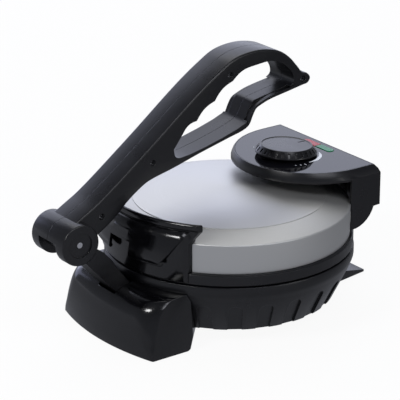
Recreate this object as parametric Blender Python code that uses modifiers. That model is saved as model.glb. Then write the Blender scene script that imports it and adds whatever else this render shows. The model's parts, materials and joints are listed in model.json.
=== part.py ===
"""Electric roti maker: a round countertop cooker with a hinged lid and a folding press lever.

Run it with: blender --background --python part.py
Everything is in metres. Heights are measured from the table. The y axis runs from the lever's
drum at the front to the hinge at the back, and places are first given about the lid's own axis.
"""

import math

import bmesh
import bpy
from mathutils import Matrix, Vector

MM = 0.001
DEG = math.pi / 180

# Clearances
CLEAR = 0.3 * MM
OVERRUN = 4 * MM

# Lid sheet
LID_RADIUS = 112 * MM
LID_EDGE_Z = 100.3 * MM
LID_BORDER = 22.2 * MM
CREASE_RADIUS = LID_RADIUS - LID_BORDER
CREASE_RISE = 6.8 * MM
DOME_RISE = 6.2 * MM
SKIRT_HEIGHT = 27.3 * MM
LID_SHEET = 0.9 * MM
LID_EDGE_BEND = 1.6 * MM

# Lid ring
RING_STEP = 3.5 * MM
RING_RADIUS = LID_RADIUS + RING_STEP
RING_HEIGHT = 11 * MM
RING_NECK_RISE = 5 * MM
RING_LEDGE = 3 * MM
PARTING_GAP = 0.6 * MM

# Base shell
BAND_STEP = 0.5 * MM
BAND_RADIUS = RING_RADIUS + BAND_STEP
BAND_EDGE = 1.3 * MM
BAND_DROP = 8 * MM
BAND_TUCK = 4 * MM
BAND_TUCK_IN = 1.5 * MM
BOWL_TUCK = 3.6 * MM
BOWL_TOP_RADIUS = BAND_RADIUS - BOWL_TUCK
BOWL_TOP_DROP = 9.6 * MM
BOWL_TAPER = 14.9 * MM
BOWL_BOTTOM_RADIUS = BOWL_TOP_RADIUS - BOWL_TAPER
BOWL_BOTTOM_Z = 12.6 * MM
BASE_WALL = 2.6 * MM
SHELF_WIDTH = 5.5 * MM
SHELF_DEPTH = 4.6 * MM
COVER_LEDGE = 6 * MM
COVER_THICKNESS = 2.2 * MM

# Flutes round the bowl
FLUTE_COUNT = 26
FIRST_FLUTE = 3
LAST_FLUTE = 12
FLUTE_WIDTH = 13 * MM
FLUTE_TOP_DROP = 2.5 * MM
FLUTE_DEPTH = 1.5 * MM
FLUTE_ARCH_STEPS = 3

# Cooking plates
PLATE_MARGIN = 10.5 * MM
PLATE_RADIUS = LID_RADIUS - PLATE_MARGIN
PLATE_THICKNESS = 6 * MM
PLATE_PROUD = 1.2 * MM
PLATE_GAP = 1.0 * MM
PLATE_POST_RADIUS = 5 * MM
PLATE_POST_INSET = 11.5 * MM
PLATE_POST_CIRCLE = PLATE_RADIUS - PLATE_POST_INSET
ELEMENT_INSET = 29.5 * MM
ELEMENT_CIRCLE = PLATE_RADIUS - ELEMENT_INSET
ELEMENT_TUBE = 3.3 * MM
ELEMENT_GAP_ANGLE = 14 * DEG
ELEMENT_STEPS = 36
PAN_SHEET = 0.9 * MM
PAN_DEPTH = 17 * MM
PAN_FLANGE = 4.6 * MM

# Front pedestal
PEDESTAL_WALL = 2.6 * MM
PEDESTAL_LIFT = 0.5 * MM
PEDESTAL_TOP_HALF = 66 * MM
PEDESTAL_FOOT_HALF = 71.5 * MM
PEDESTAL_TOP_STEP = 2 * MM
PEDESTAL_TOP_Y = -BAND_RADIUS - PEDESTAL_TOP_STEP
PEDESTAL_SPLAY = 29.6 * MM
PEDESTAL_FOOT_Y = PEDESTAL_TOP_Y - PEDESTAL_SPLAY
PEDESTAL_SAG = 20 * MM
PEDESTAL_CORNER = 22 * MM
PEDESTAL_DEPTH = 19 * MM
PEDESTAL_REAR_Y = PEDESTAL_TOP_Y + PEDESTAL_DEPTH
PEDESTAL_TUCK = 24 * MM
PEDESTAL_TUCK_Y = PEDESTAL_REAR_Y + PEDESTAL_TUCK
PEDESTAL_REAR_HALF = 71 * MM
PEDESTAL_TUCK_HALF = 50 * MM
# Each row: height from foot to top, then forward reach, sag of the front and corner rounding.
PEDESTAL_SECTION_SHARES = (
    (0.00, 1.00, 0.52, 0.36),
    (0.10, 1.00, 0.52, 0.41),
    (0.25, 0.985, 0.50, 0.64),
    (0.50, 0.945, 0.43, 0.86),
    (0.70, 0.87, 0.38, 0.95),
    (0.82, 0.78, 0.33, 1.00),
    (0.91, 0.64, 0.36, 1.00),
    (0.97, 0.44, 0.55, 0.73),
    (1.00, 0.00, 1.00, 0.20),
)
PEDESTAL_FRONT_STEPS = 6
PEDESTAL_CORNER_STEPS = 4
POCKET_INSET = 10.3 * MM
POCKET_FRONT_Y = PEDESTAL_FOOT_Y + POCKET_INSET
CHEEK_THICKNESS = 4 * MM
CHEEK_DEPTH = 19 * MM
FLOOR_THICKNESS = 3 * MM

# Rear foot
REAR_FOOT_OVERHANG = 31 * MM
REAR_FOOT_REACH = BAND_RADIUS + REAR_FOOT_OVERHANG
REAR_FOOT_TIP_HALF = 23 * MM
REAR_FOOT_ROOT_HALF = 38 * MM
REAR_FOOT_ROOT_INSET = 41.5 * MM
REAR_FOOT_ROOT_Y = BOWL_BOTTOM_RADIUS - REAR_FOOT_ROOT_INSET
REAR_FOOT_BEND_STEP = 8.5 * MM
REAR_FOOT_BEND_Y = BOWL_BOTTOM_RADIUS + REAR_FOOT_BEND_STEP
REAR_FOOT_TIP_HEIGHT = 1.8 * MM
REAR_FOOT_ROOT_HEIGHT = 6 * MM

# Rubber pads
PAD_RADIUS = 7 * MM
PAD_SEAT_DEPTH = 1.6 * MM
FRONT_PAD_X = 54 * MM
FRONT_PAD_INSET = 30.6 * MM
FRONT_PAD_Y = PEDESTAL_FOOT_Y + FRONT_PAD_INSET
REAR_PAD_X = 17 * MM
REAR_PAD_INSET = 13 * MM
REAR_PAD_Y = REAR_FOOT_REACH - REAR_PAD_INSET
REAR_PAD_RADIUS = 4.5 * MM
REAR_PAD_SEAT_DEPTH = 1.2 * MM

# Lid hinge
HINGE_STEP = 2 * MM
HINGE_Y = RING_RADIUS + HINGE_STEP
HINGE_RISE = 6.3 * MM
KNUCKLE_RADIUS = 5.8 * MM
HINGE_PIN_RADIUS = 2.5 * MM
POST_INNER_X = 14 * MM
POST_WIDTH = 11 * MM
LUG_WIDTH = 11 * MM
POST_FOOT_RISE = 1 * MM
POST_TRIM = 0.9 * MM
POST_FRONT_TURN = 250 * DEG

# Cord gland at the back of the base
GLAND_RISE = 15.4 * MM
GLAND_RADIUS = 5.5 * MM
GLAND_FLANGE_RADIUS = 8 * MM
GLAND_FLANGE = 2 * MM
GLAND_BORE = 3.4 * MM
GLAND_INSIDE = 7 * MM

# Terminal block inside the base
TERMINAL_LENGTH = 30 * MM
TERMINAL_WIDTH = 14 * MM
TERMINAL_HEIGHT = 11 * MM
TERMINAL_INSET = 35.5 * MM
TERMINAL_Y = BOWL_BOTTOM_RADIUS - TERMINAL_INSET

# Link arm
LINK_PIVOT_STEP = 10 * MM
LINK_PIVOT_Y = -BAND_RADIUS - LINK_PIVOT_STEP
LINK_PIVOT_DROP = 5.6 * MM
LINK_HALF_WIDTH = 13 * MM
LINK_FOOT_RADIUS = 7.5 * MM
LINK_NECK_HALF = 6.5 * MM
LINK_HEAD_RADIUS = 12 * MM
# Points of the link's back edge: how far up from the foot's axis and how far behind the middle,
# as shares of its length
LINK_LENGTH = 80 * MM
LINK_BACK_SHARES = ((0.2125, 0.1075), (0.4, 0.14), (0.5625, 0.14), (0.7375, 0.094))
LINK_PIN_RADIUS = 3 * MM

# Lever drum
LINK_RUN = 53.7 * MM
DRUM_Y = LINK_PIVOT_Y - LINK_RUN
LINK_RISE = 58.3 * MM
DRUM_RADIUS = 18.8 * MM
DRUM_HALF_LENGTH = 25.5 * MM
DRUM_CAVITY = 12.8 * MM
DRUM_FACE_RECESS = 11.5 * MM
DRUM_FACE_DEPTH = 1.4 * MM
DRUM_SLOT_START = -12 * DEG
DRUM_SLOT_END = -186 * DEG
DRUM_SLOT_STEPS = 12
AXLE_RADIUS = 2 * MM
AXLE_HEAD_RADIUS = 2.8 * MM
AXLE_HEAD = 1.4 * MM

# Lever body. The outline's points lie in (y, z) about the drum's axis, as shares of its length
LEVER_LENGTH = 260 * MM
LEVER_HALF_WIDTH = 18 * MM
LEVER_SEAM = 0.3 * MM
LEVER_EDGE_ROUND = 1.8 * MM
LEVER_TOP_SHARES = (
    (-0.0385, 0.05), (0.0365, 0.0923), (0.0977, 0.1269), (0.3035, 0.2754), (0.5123, 0.4338),
    (0.6058, 0.495), (0.6615, 0.5246), (0.7258, 0.5377), (0.7912, 0.535), (0.8573, 0.5177),
    (0.9023, 0.4877), (0.9388, 0.4481), (0.9619, 0.4219), (0.9846, 0.4135), (0.9977, 0.3962),
    (0.9877, 0.3777),
)
LEVER_UNDERSIDE_SHARES = (
    (0.9631, 0.3727), (0.9046, 0.3623), (0.8158, 0.3465), (0.7804, 0.335), (0.7588, 0.3246),
    (0.7458, 0.305), (0.7285, 0.2715), (0.7065, 0.2577), (0.6415, 0.2415), (0.5123, 0.21),
    (0.4065, 0.1812), (0.3104, 0.1585), (0.2812, 0.1469), (0.2192, 0.1065), (0.1615, 0.0562),
    (0.1104, 0.0215), (0.0577, -0.0077),
)
LOOP_BAR_SIDE_SHARES = (
    (0.4023, 0.2481), (0.4096, 0.2212), (0.4327, 0.2131), (0.7081, 0.2815), (0.7254, 0.2977),
    (0.7381, 0.3242), (0.7554, 0.3477), (0.7877, 0.3565), (0.9035, 0.38),
)
LOOP_TIP_SHARES = (
    (0.9215, 0.3946), (0.9177, 0.4231), (0.8846, 0.4596), (0.8462, 0.4808), (0.8138, 0.4892),
)
GROOVE_CUSPS_SHARES = (
    (0.7392, 0.4846), (0.6531, 0.4465), (0.5762, 0.3892), (0.4996, 0.3323), (0.4408, 0.2973),
)
GROOVE_RISE = 2.6 * MM
GROOVE_STEPS = 4
LEVER_SCREWS_SHARES = (
    (0.1046, 0.0712), (0.315, 0.2188), (0.6442, 0.4681), (0.9623, 0.3969),
)
SCREW_HEAD_RADIUS = 2.6 * MM
SCREW_HEAD = 1.8 * MM
SCREW_SHANK_RADIUS = 1.4 * MM
SCREW_WELL_DEPTH = 6 * MM
SCREW_REACH = 10 * MM

# Lid grip
GRIP_HALF_WIDTH = 66.5 * MM
GRIP_CHAMFER_X = 5.5 * MM
GRIP_CHAMFER_Y = 9.2 * MM
GRIP_CORNER_INSET = 17.5 * MM
GRIP_CORNER_Y = GRIP_CORNER_INSET - LID_RADIUS
GRIP_WALL_STEP = 2.1 * MM
GRIP_WALL_RADIUS = RING_RADIUS + GRIP_WALL_STEP
GRIP_WALL_DROP = 2.2 * MM
GRIP_BEND_DROP = 9.7 * MM
BEAD_HALF_WIDTH = 74 * MM
BEAD_INNER_RADIUS = LID_RADIUS + 2 * CLEAR
BEAD_THICKNESS = 4.6 * MM
BEAD_RADIUS = BEAD_INNER_RADIUS + BEAD_THICKNESS
BEAD_RISE = 18.9 * MM
BEAD_ROUND = 2.1 * MM
BEAD_WAIST_RISE = 12.5 * MM
BEAD_END_RISE = 12 * MM
BEAD_END_ROUND = 4 * MM
AWNING_STAND = 3.3 * MM
AWNING_TOP_RADIUS = LID_RADIUS + AWNING_STAND
AWNING_TOP_RISE = 11.5 * MM
AWNING_REACH = 8.2 * MM
AWNING_LIP_RADIUS = AWNING_TOP_RADIUS + AWNING_REACH
AWNING_LIP_DROP = 20.5 * MM
AWNING_TOP_ANGLE = 35.6 * DEG
AWNING_LIP_ANGLE = 23 * DEG
AWNING_THICKNESS = 3 * MM
AWNING_COLUMN_COUNT = 12
AWNING_ROW_SHARES = (0.0, 0.28, 0.55, 0.8, 1.0)
AWNING_BULGE = 1.2 * MM
NOTCH_HALF_WIDTH = 14.5 * MM
NOTCH_TOP_DROP = 8 * MM
STRIKER_HALF_WIDTH = 11 * MM
STRIKER_HEIGHT = 9 * MM
STRIKER_PROUD = 1.6 * MM
STRIKER_CORNER = 1.5 * MM
STRIKER_STEP = 2.2 * MM
STRIKER_FACE_RADIUS = LID_RADIUS + STRIKER_STEP

# Control housing
DECK_RISE = 18.5 * MM
DECK_TOP_HALF = 69.8 * MM
DECK_OVERHANG = 1.1 * MM
DECK_REAR_Y = HINGE_Y + DECK_OVERHANG
DECK_REAR_SLOPE = 4.2 * MM
DECK_TOP_REAR_Y = DECK_REAR_Y - DECK_REAR_SLOPE
DECK_DEPTH = 98.2 * MM
DECK_FRONT_Y = DECK_REAR_Y - DECK_DEPTH
DECK_FRONT_SLOPE = 2.4 * MM
DECK_TOP_FRONT_Y = DECK_FRONT_Y + DECK_FRONT_SLOPE
DECK_HALF = 75 * MM
DECK_THICKNESS = 10 * MM
DECK_LIP_HEIGHT = 2.6 * MM
DECK_SHOULDER_DROP = 3.4 * MM
DECK_SHOULDER_SHARE = 0.62
DECK_ARC_STEPS = 22
HOUSING_WALL = 2.8 * MM
NECK_RADIUS = 30 * MM
NECK_SETBACK = 42.6 * MM
NECK_Y = DECK_REAR_Y - NECK_SETBACK
NECK_FLOOR = 2.2 * MM
EAR_LENGTH = 34.3 * MM
EAR_FRONT_Y = DECK_REAR_Y - EAR_LENGTH
EAR_CENTRE_STEP = 1.9 * MM
EAR_CENTRE_Y = EAR_FRONT_Y + EAR_CENTRE_STEP
EAR_CENTRE_RISE = 0.5 * MM
EAR_RADIUS = 26.3 * MM
EAR_STEP_INSET = 7.3 * MM
EAR_STEP_Y = DECK_REAR_Y - EAR_STEP_INSET
EAR_STEP_DROP = 7.7 * MM
EAR_STEPS = 7

# Control panel, knob and lamps
PANEL_THICKNESS = 1.8 * MM
PANEL_MARGIN = 0.8 * MM
KNOB_STEP = 10 * MM
KNOB_Y = NECK_Y - KNOB_STEP
KNOB_LEAN = 3 * DEG
KNOB_LIFT = 1.9 * MM
KNOB_TOP_RADIUS = 24.8 * MM
KNOB_RADIUS = 29.2 * MM
KNOB_HEIGHT = 7.8 * MM
KNOB_BAND = 1.6 * MM
KNOB_WALL = 2.2 * MM
KNOB_SLOT_COUNT = 28
KNOB_SLOT_WIDTH = 2.2 * MM
KNOB_SLOT_DEPTH = 1.3 * MM
POINTER_LENGTH = 9 * MM
POINTER_WIDTH = 1.4 * MM
SHAFT_RADIUS = 3 * MM
SHAFT_HOLE = 4.2 * MM
SHAFT_COLLAR = 5.5 * MM
THERMOSTAT_RADIUS = 15 * MM
THERMOSTAT_HEIGHT = 10 * MM
LENS_INSET = 9.4 * MM
LENS_Y = DECK_TOP_REAR_Y - LENS_INSET
LENS_HALF_LENGTH = 21 * MM
LENS_HALF_WIDTH = 3.9 * MM
LENS_PROUD = 0.6 * MM
LAMP_RADIUS = 2.4 * MM
LAMP_LENGTH = 13 * MM
LAMP_POCKET = 5.6 * MM

# The mark that shows where a joint's axis lies
PIVOT_MARK = 20 * MM

# Facets
ROUND_SIDE_COUNT = 48
PLATE_SIDE_COUNT = 40
SMALL_SIDE_COUNT = 14
DRUM_SIDE_COUNT = 24
KNOB_SIDE_COUNT = 28

# Where the lid's axis stands, so that the whole object is centred on the origin
FRONT_REACH = DRUM_RADIUS - DRUM_Y
LID_AXIS_Y = (FRONT_REACH - REAR_FOOT_REACH) / 2

# Heights that several pieces share
SKIRT_BOTTOM_Z = LID_EDGE_Z - SKIRT_HEIGHT
RING_TOP_Z = SKIRT_BOTTOM_Z - CLEAR
RING_BOTTOM_Z = RING_TOP_Z - RING_HEIGHT
BASE_TOP_Z = RING_BOTTOM_Z - PARTING_GAP
BAND_Z = BASE_TOP_Z - BAND_DROP
CREASE_Z = LID_EDGE_Z + CREASE_RISE
DOME_Z = CREASE_Z + DOME_RISE
BOWL_TOP_Z = BAND_Z - BOWL_TOP_DROP
FLUTE_TOP_Z = BOWL_TOP_Z - FLUTE_TOP_DROP
HINGE_Z = RING_TOP_Z + HINGE_RISE
POST_FOOT_Z = BOWL_TOP_Z + POST_FOOT_RISE
GLAND_Z = BOWL_BOTTOM_Z + GLAND_RISE
LINK_PIVOT_Z = BAND_Z - LINK_PIVOT_DROP
DRUM_Z = LINK_PIVOT_Z + LINK_RISE
DECK_TOP_Z = DOME_Z + DECK_RISE
DECK_LIP_Z = DECK_TOP_Z - DECK_THICKNESS
DECK_WIDE_Z = DECK_LIP_Z + DECK_LIP_HEIGHT
DECK_SHOULDER_Z = DECK_TOP_Z - DECK_SHOULDER_DROP
EAR_CENTRE_Z = LID_EDGE_Z + EAR_CENTRE_RISE
EAR_STEP_Z = LID_EDGE_Z - EAR_STEP_DROP
LIP_RADIUS = RING_RADIUS - PARTING_GAP
SHELF_Z = BASE_TOP_Z - SHELF_DEPTH
SHELF_RADIUS = LIP_RADIUS - BASE_WALL
LOWER_PLATE_TOP = BASE_TOP_Z + PLATE_PROUD
UPPER_PLATE_BOTTOM = LOWER_PLATE_TOP + PLATE_GAP
PANEL_SEAT_Z = DECK_TOP_Z - PANEL_THICKNESS - CLEAR


def clear_scene():
    for obj in list(bpy.data.objects):
        bpy.data.objects.remove(obj, do_unlink=True)


def new_collection(name, hidden=False):
    collection = bpy.data.collections.new(name)
    bpy.context.scene.collection.children.link(collection)
    collection.hide_render = hidden
    return collection


def material(name, colour, roughness, metallic=0.0):
    made = bpy.data.materials.new(name)
    made.use_nodes = True
    shader = made.node_tree.nodes["Principled BSDF"]
    shader.inputs["Base Color"].default_value = (*colour, 1)
    shader.inputs["Roughness"].default_value = roughness
    shader.inputs["Metallic"].default_value = metallic
    made.diffuse_color = (*colour, 1)
    return made


def new_object(name, mesh):
    obj = bpy.data.objects.new(name, mesh)
    cutters.objects.link(obj)
    obj.hide_render = True
    obj.display_type = "WIRE"
    return obj


def bake(obj):
    """Replaces the object's data with its evaluated mesh, welded, with all faces turned out."""
    bpy.context.view_layer.update()
    graph = bpy.context.evaluated_depsgraph_get()
    mesh = bpy.data.meshes.new_from_object(obj.evaluated_get(graph))
    edit = bmesh.new()
    edit.from_mesh(mesh)
    bmesh.ops.remove_doubles(edit, verts=edit.verts, dist=0.002 * MM)
    bmesh.ops.recalc_face_normals(edit, faces=edit.faces)
    edit.to_mesh(mesh)
    edit.free()
    if obj.type == "MESH":
        obj.modifiers.clear()
        obj.data = mesh
        return obj
    made = new_object(obj.name + "_mesh", mesh)
    made.matrix_world = obj.matrix_world.copy()
    bpy.data.objects.remove(obj, do_unlink=True)
    return made


def apply_transform(obj):
    obj.data.transform(obj.matrix_basis)
    obj.matrix_basis = Matrix()
    return obj


def box(name, low, high):
    """A box between two corners."""
    mesh = bpy.data.meshes.new(name)
    edit = bmesh.new()
    bmesh.ops.create_cube(edit, size=1)
    low, high = Vector(low), Vector(high)
    size = high - low
    edit.transform(Matrix.Translation((low + high) / 2) @ Matrix.Diagonal((*size, 1)))
    edit.to_mesh(mesh)
    edit.free()
    return new_object(name, mesh)


def rod(name, radius, start, end, facets=SMALL_SIDE_COUNT):
    """A cylinder between two points."""
    start, end = Vector(start), Vector(end)
    along = end - start
    mesh = bpy.data.meshes.new(name)
    edit = bmesh.new()
    bmesh.ops.create_cone(
        edit, cap_ends=True, segments=facets, radius1=radius, radius2=radius, depth=along.length
    )
    turn = along.to_track_quat("Z", "Y").to_matrix().to_4x4()
    edit.transform(Matrix.Translation((start + end) / 2) @ turn)
    edit.to_mesh(mesh)
    edit.free()
    return new_object(name, mesh)


def revolve(name, profile, facets=ROUND_SIDE_COUNT):
    """Turns a closed profile of (radius, height) points about z."""
    mesh = bpy.data.meshes.new(name)
    count = len(profile)
    touching = profile[0][0] == 0 and profile[-1][0] == 0
    edges = [(i, (i + 1) % count) for i in range(count - (1 if touching else 0))]
    mesh.from_pydata([(r, 0, z) for r, z in profile], edges, [])
    obj = new_object(name, mesh)
    screw = obj.modifiers.new("turn", "SCREW")
    screw.axis = "Z"
    screw.steps = facets
    screw.render_steps = facets
    screw.use_merge_vertices = True
    screw.merge_threshold = 0.01 * MM
    return bake(obj)


def slab(name, outlines, thickness):
    """A flat plate from closed outlines of (x, y) points, the first outside and the rest holes."""
    curve = bpy.data.curves.new(name, "CURVE")
    curve.dimensions = "2D"
    curve.fill_mode = "BOTH"
    curve.extrude = thickness / 2
    for outline in outlines:
        spline = curve.splines.new("POLY")
        spline.points.add(len(outline) - 1)
        for point, (x, y) in zip(spline.points, outline):
            point.co = (x, y, 0, 1)
        spline.use_cyclic_u = True
    return bake(new_object(name, curve))


def side_slab(name, outlines, x_low, x_high):
    """A plate whose outlines lie in (y, z) and whose thickness runs along x."""
    obj = slab(name, outlines, x_high - x_low)
    turn = Matrix(((0, 0, 1, 0), (1, 0, 0, 0), (0, 1, 0, 0), (0, 0, 0, 1)))
    obj.data.transform(Matrix.Translation(((x_low + x_high) / 2, 0, 0)) @ turn)
    return obj


def level_slab(name, outlines, z_low, z_high):
    obj = slab(name, outlines, z_high - z_low)
    obj.data.transform(Matrix.Translation((0, 0, (z_low + z_high) / 2)))
    return obj


def loft(name, rings):
    """Skins a stack of rings with the same number of points and caps both ends."""
    mesh = bpy.data.meshes.new(name)
    edit = bmesh.new()
    rows = [[edit.verts.new(point) for point in ring] for ring in rings]
    count = len(rows[0])
    for lower, upper in zip(rows, rows[1:]):
        for i in range(count):
            j = (i + 1) % count
            edit.faces.new((lower[i], lower[j], upper[j], upper[i]))
    edit.faces.new(list(reversed(rows[0])))
    edit.faces.new(rows[-1])
    bmesh.ops.recalc_face_normals(edit, faces=edit.faces)
    edit.to_mesh(mesh)
    edit.free()
    return new_object(name, mesh)


def boolean(target, other, operation, solver="EXACT"):
    step = target.modifiers.new(operation.lower(), "BOOLEAN")
    step.object = other
    step.operation = operation
    step.solver = solver
    return bake(target)


def cut(target, *others):
    for other in others:
        boolean(target, other, "DIFFERENCE")
    return target


def join(target, *others):
    for other in others:
        boolean(target, other, "UNION")
    return target


def keep_inside(target, other):
    return boolean(target, other, "INTERSECT")


def merged(name, objects):
    """Puts several cutters that don't touch into one mesh."""
    edit = bmesh.new()
    for obj in objects:
        edit.from_mesh(obj.data)
        bpy.data.objects.remove(obj, do_unlink=True)
    mesh = bpy.data.meshes.new(name)
    edit.to_mesh(mesh)
    edit.free()
    return new_object(name, mesh)


def mirrored(obj, name):
    """A copy on the other side of the x = 0 plane."""
    mesh = obj.data.copy()
    mesh.transform(Matrix.Diagonal((-1, 1, 1, 1)))
    mesh.flip_normals()
    return new_object(name, mesh)


def copied(obj, name, shift=(0, 0, 0)):
    mesh = obj.data.copy()
    mesh.transform(Matrix.Translation(shift))
    return new_object(name, mesh)


def bevel_where(obj, width, chosen, segments=2):
    """Bevels the sharp edges that the test picks, given both end points."""
    edit = bmesh.new()
    edit.from_mesh(obj.data)
    bmesh.ops.dissolve_limit(
        edit, angle_limit=0.5 * DEG, verts=edit.verts, edges=edit.edges
    )
    picked = [
        edge
        for edge in edit.edges
        if len(edge.link_faces) == 2
        and edge.calc_face_angle() > 30 * DEG
        and chosen(edge.verts[0].co, edge.verts[1].co)
    ]
    bmesh.ops.bevel(
        edit, geom=picked, offset=width, segments=segments, affect="EDGES", profile=0.5,
        clamp_overlap=True,
    )
    edit.to_mesh(obj.data)
    edit.free()
    return obj


def finish(obj, name, finish_material, parent, smooth=True):
    """Makes a baked solid one of the object's pieces, carried by a pivot."""
    cutters.objects.unlink(obj)
    pieces.objects.link(obj)
    obj.name = name
    obj.data.name = name
    obj.hide_render = False
    obj.display_type = "TEXTURED"
    obj.data.materials.clear()
    obj.data.materials.append(finish_material)
    if smooth:
        obj.data.shade_smooth()
        obj.data.set_sharp_from_angle(angle=35 * DEG)
    obj.parent = parent
    obj.matrix_parent_inverse = Matrix()
    obj.location = -Vector(parent["place"])
    return obj


def pivot(name, place, parent=None, lean=0.0):
    """An empty on a joint's axis. Its place is given about the lid's axis, as the pieces' are."""
    empty = bpy.data.objects.new(name, None)
    pieces.objects.link(empty)
    empty.empty_display_size = PIVOT_MARK
    empty["place"] = place
    if parent is None:
        empty.location = (place[0], place[1] + LID_AXIS_Y, place[2])
    else:
        empty.parent = parent
        empty.location = Vector(place) - Vector(parent["place"])
    empty.rotation_euler.x = lean
    return empty


def arc(centre, radius, start, end, steps):
    """Points on an arc, both ends included."""
    return [
        (
            centre[0] + radius * math.cos(start + (end - start) * i / steps),
            centre[1] + radius * math.sin(start + (end - start) * i / steps),
        )
        for i in range(steps + 1)
    ]


def filleted(points, radius, steps=4):
    """Rounds each corner of a closed outline. A radius of 0 keeps a corner."""
    radii = radius if isinstance(radius, (list, tuple)) else [radius] * len(points)
    made = []
    for i, corner in enumerate(points):
        here = Vector(corner)
        back = Vector(points[i - 1]) - here
        ahead = Vector(points[(i + 1) % len(points)]) - here
        if radii[i] == 0:
            made.append(tuple(here))
            continue
        half = back.angle(ahead) / 2
        reach = min(radii[i] / math.tan(half), back.length * 0.49, ahead.length * 0.49)
        size = reach * math.tan(half)
        first, last = here + back.normalized() * reach, here + ahead.normalized() * reach
        centre = here + (back.normalized() + ahead.normalized()).normalized() * size / math.sin(half)
        start, end = first - centre, last - centre
        sweep = start.angle_signed(end)
        for k in range(steps + 1):
            turned = Matrix.Rotation(-sweep * k / steps, 2) @ start
            made.append(tuple(centre + turned))
    return made


def base_outline():
    """The base shell's outside, from its top lip to its bottom edge."""
    return [
        (LIP_RADIUS, BASE_TOP_Z),
        (BAND_RADIUS, BASE_TOP_Z - BAND_EDGE),
        (BAND_RADIUS, BAND_Z),
        (BAND_RADIUS - BAND_TUCK_IN, BAND_Z - BAND_TUCK),
        (BOWL_TOP_RADIUS, BOWL_TOP_Z),
        (BOWL_BOTTOM_RADIUS, BOWL_BOTTOM_Z),
    ]


def grown_outline(grow):
    """The base's outside, moved out by a clearance, as a solid plug up to above the lid ring."""
    outline = [(r + grow, z) for r, z in base_outline()]
    outline[-1] = (BOWL_BOTTOM_RADIUS + grow, BOWL_BOTTOM_Z - grow)
    top = LID_EDGE_Z
    return [(0, top), (BAND_RADIUS + grow, top), (BAND_RADIUS + grow, BAND_Z)] + outline[3:] + [
        (0, BOWL_BOTTOM_Z - grow)
    ]


def lid_outline(grow=0.0):
    """The lid sheet's outside with a clearance, from the middle of the dome to the skirt."""
    dome = [
        (CREASE_RADIUS * s, CREASE_Z + DOME_RISE * (1 - s * s) + grow)
        for s in (0, 0.25, 0.5, 0.75, 1)
    ]
    bend = LID_EDGE_BEND
    return dome + [
        (LID_RADIUS - bend + grow, LID_EDGE_Z + bend / 4 + grow),
        (LID_RADIUS + grow, LID_EDGE_Z - bend + grow),
        (LID_RADIUS + grow, SKIRT_BOTTOM_Z),
    ]


def lid_plug(grow):
    """The room that the lid and its ring take, as a solid that cuts what sits on them."""
    outline = lid_outline(grow)
    wide = RING_RADIUS + grow
    low = RING_BOTTOM_Z - OVERRUN
    step = SKIRT_BOTTOM_Z + grow
    return revolve(
        "lid_plug",
        outline[:-1] + [(LID_RADIUS + grow, step), (wide, step), (wide, low), (0, low)],
    )


def flute_cutter(index):
    """One arch-topped slab that leans with the bowl's wall and cuts a shallow flute."""
    slope = math.atan2(BOWL_TOP_RADIUS - BOWL_BOTTOM_RADIUS, BOWL_TOP_Z - BOWL_BOTTOM_Z)
    half = FLUTE_WIDTH / 2
    top = (FLUTE_TOP_Z - BOWL_BOTTOM_Z) / math.cos(slope)
    arch = arc((0, top - half), half, 0, math.pi, FLUTE_ARCH_STEPS)
    outline = [(half, -OVERRUN)] + arch + [(-half, -OVERRUN)]
    obj = slab("flute", [outline], 2 * OVERRUN)
    stand = Matrix.Rotation(math.pi / 2, 4, "X")
    lean = Matrix.Rotation(slope, 4, "X")
    out = Matrix.Translation((0, -(OVERRUN - FLUTE_DEPTH), 0))
    at_edge = Matrix.Translation((0, -BOWL_BOTTOM_RADIUS, BOWL_BOTTOM_Z))
    round_it = Matrix.Rotation(index * 2 * math.pi / FLUTE_COUNT, 4, "Z")
    obj.data.transform(round_it @ at_edge @ lean @ out @ stand)
    return obj


def hinge_post():
    """The base's knuckle post at the back, trimmed to the shell that carries it."""
    knuckle = arc((HINGE_Y, HINGE_Z), KNUCKLE_RADIUS, POST_FRONT_TURN, 0, 14)
    foot_y = BOWL_TOP_RADIUS - 2 * OVERRUN
    outline = knuckle + [
        (HINGE_Y + KNUCKLE_RADIUS, BAND_Z),
        (BOWL_TOP_RADIUS, POST_FOOT_Z),
        (foot_y, POST_FOOT_Z),
        (foot_y, BASE_TOP_Z - CLEAR),
        (knuckle[0][0], BASE_TOP_Z),
    ]
    post = side_slab("hinge_post", [outline], POST_INNER_X, POST_INNER_X + POST_WIDTH)
    wall = [(r - POST_TRIM, z) for r, z in base_outline()[1:]]
    wide = RING_RADIUS + POST_TRIM
    narrow = LID_RADIUS + POST_TRIM
    step = RING_TOP_Z + POST_TRIM
    room = [(0, LID_EDGE_Z), (narrow, LID_EDGE_Z), (narrow, step), (wide, step), (wide, BASE_TOP_Z)]
    return cut(post, revolve("post_trim", room + wall + [(0, BOWL_BOTTOM_Z)]))


def hinge_axis_rod(radius, x_low, x_high):
    return rod("hinge_rod", radius, (x_low, HINGE_Y, HINGE_Z), (x_high, HINGE_Y, HINGE_Z))


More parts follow.
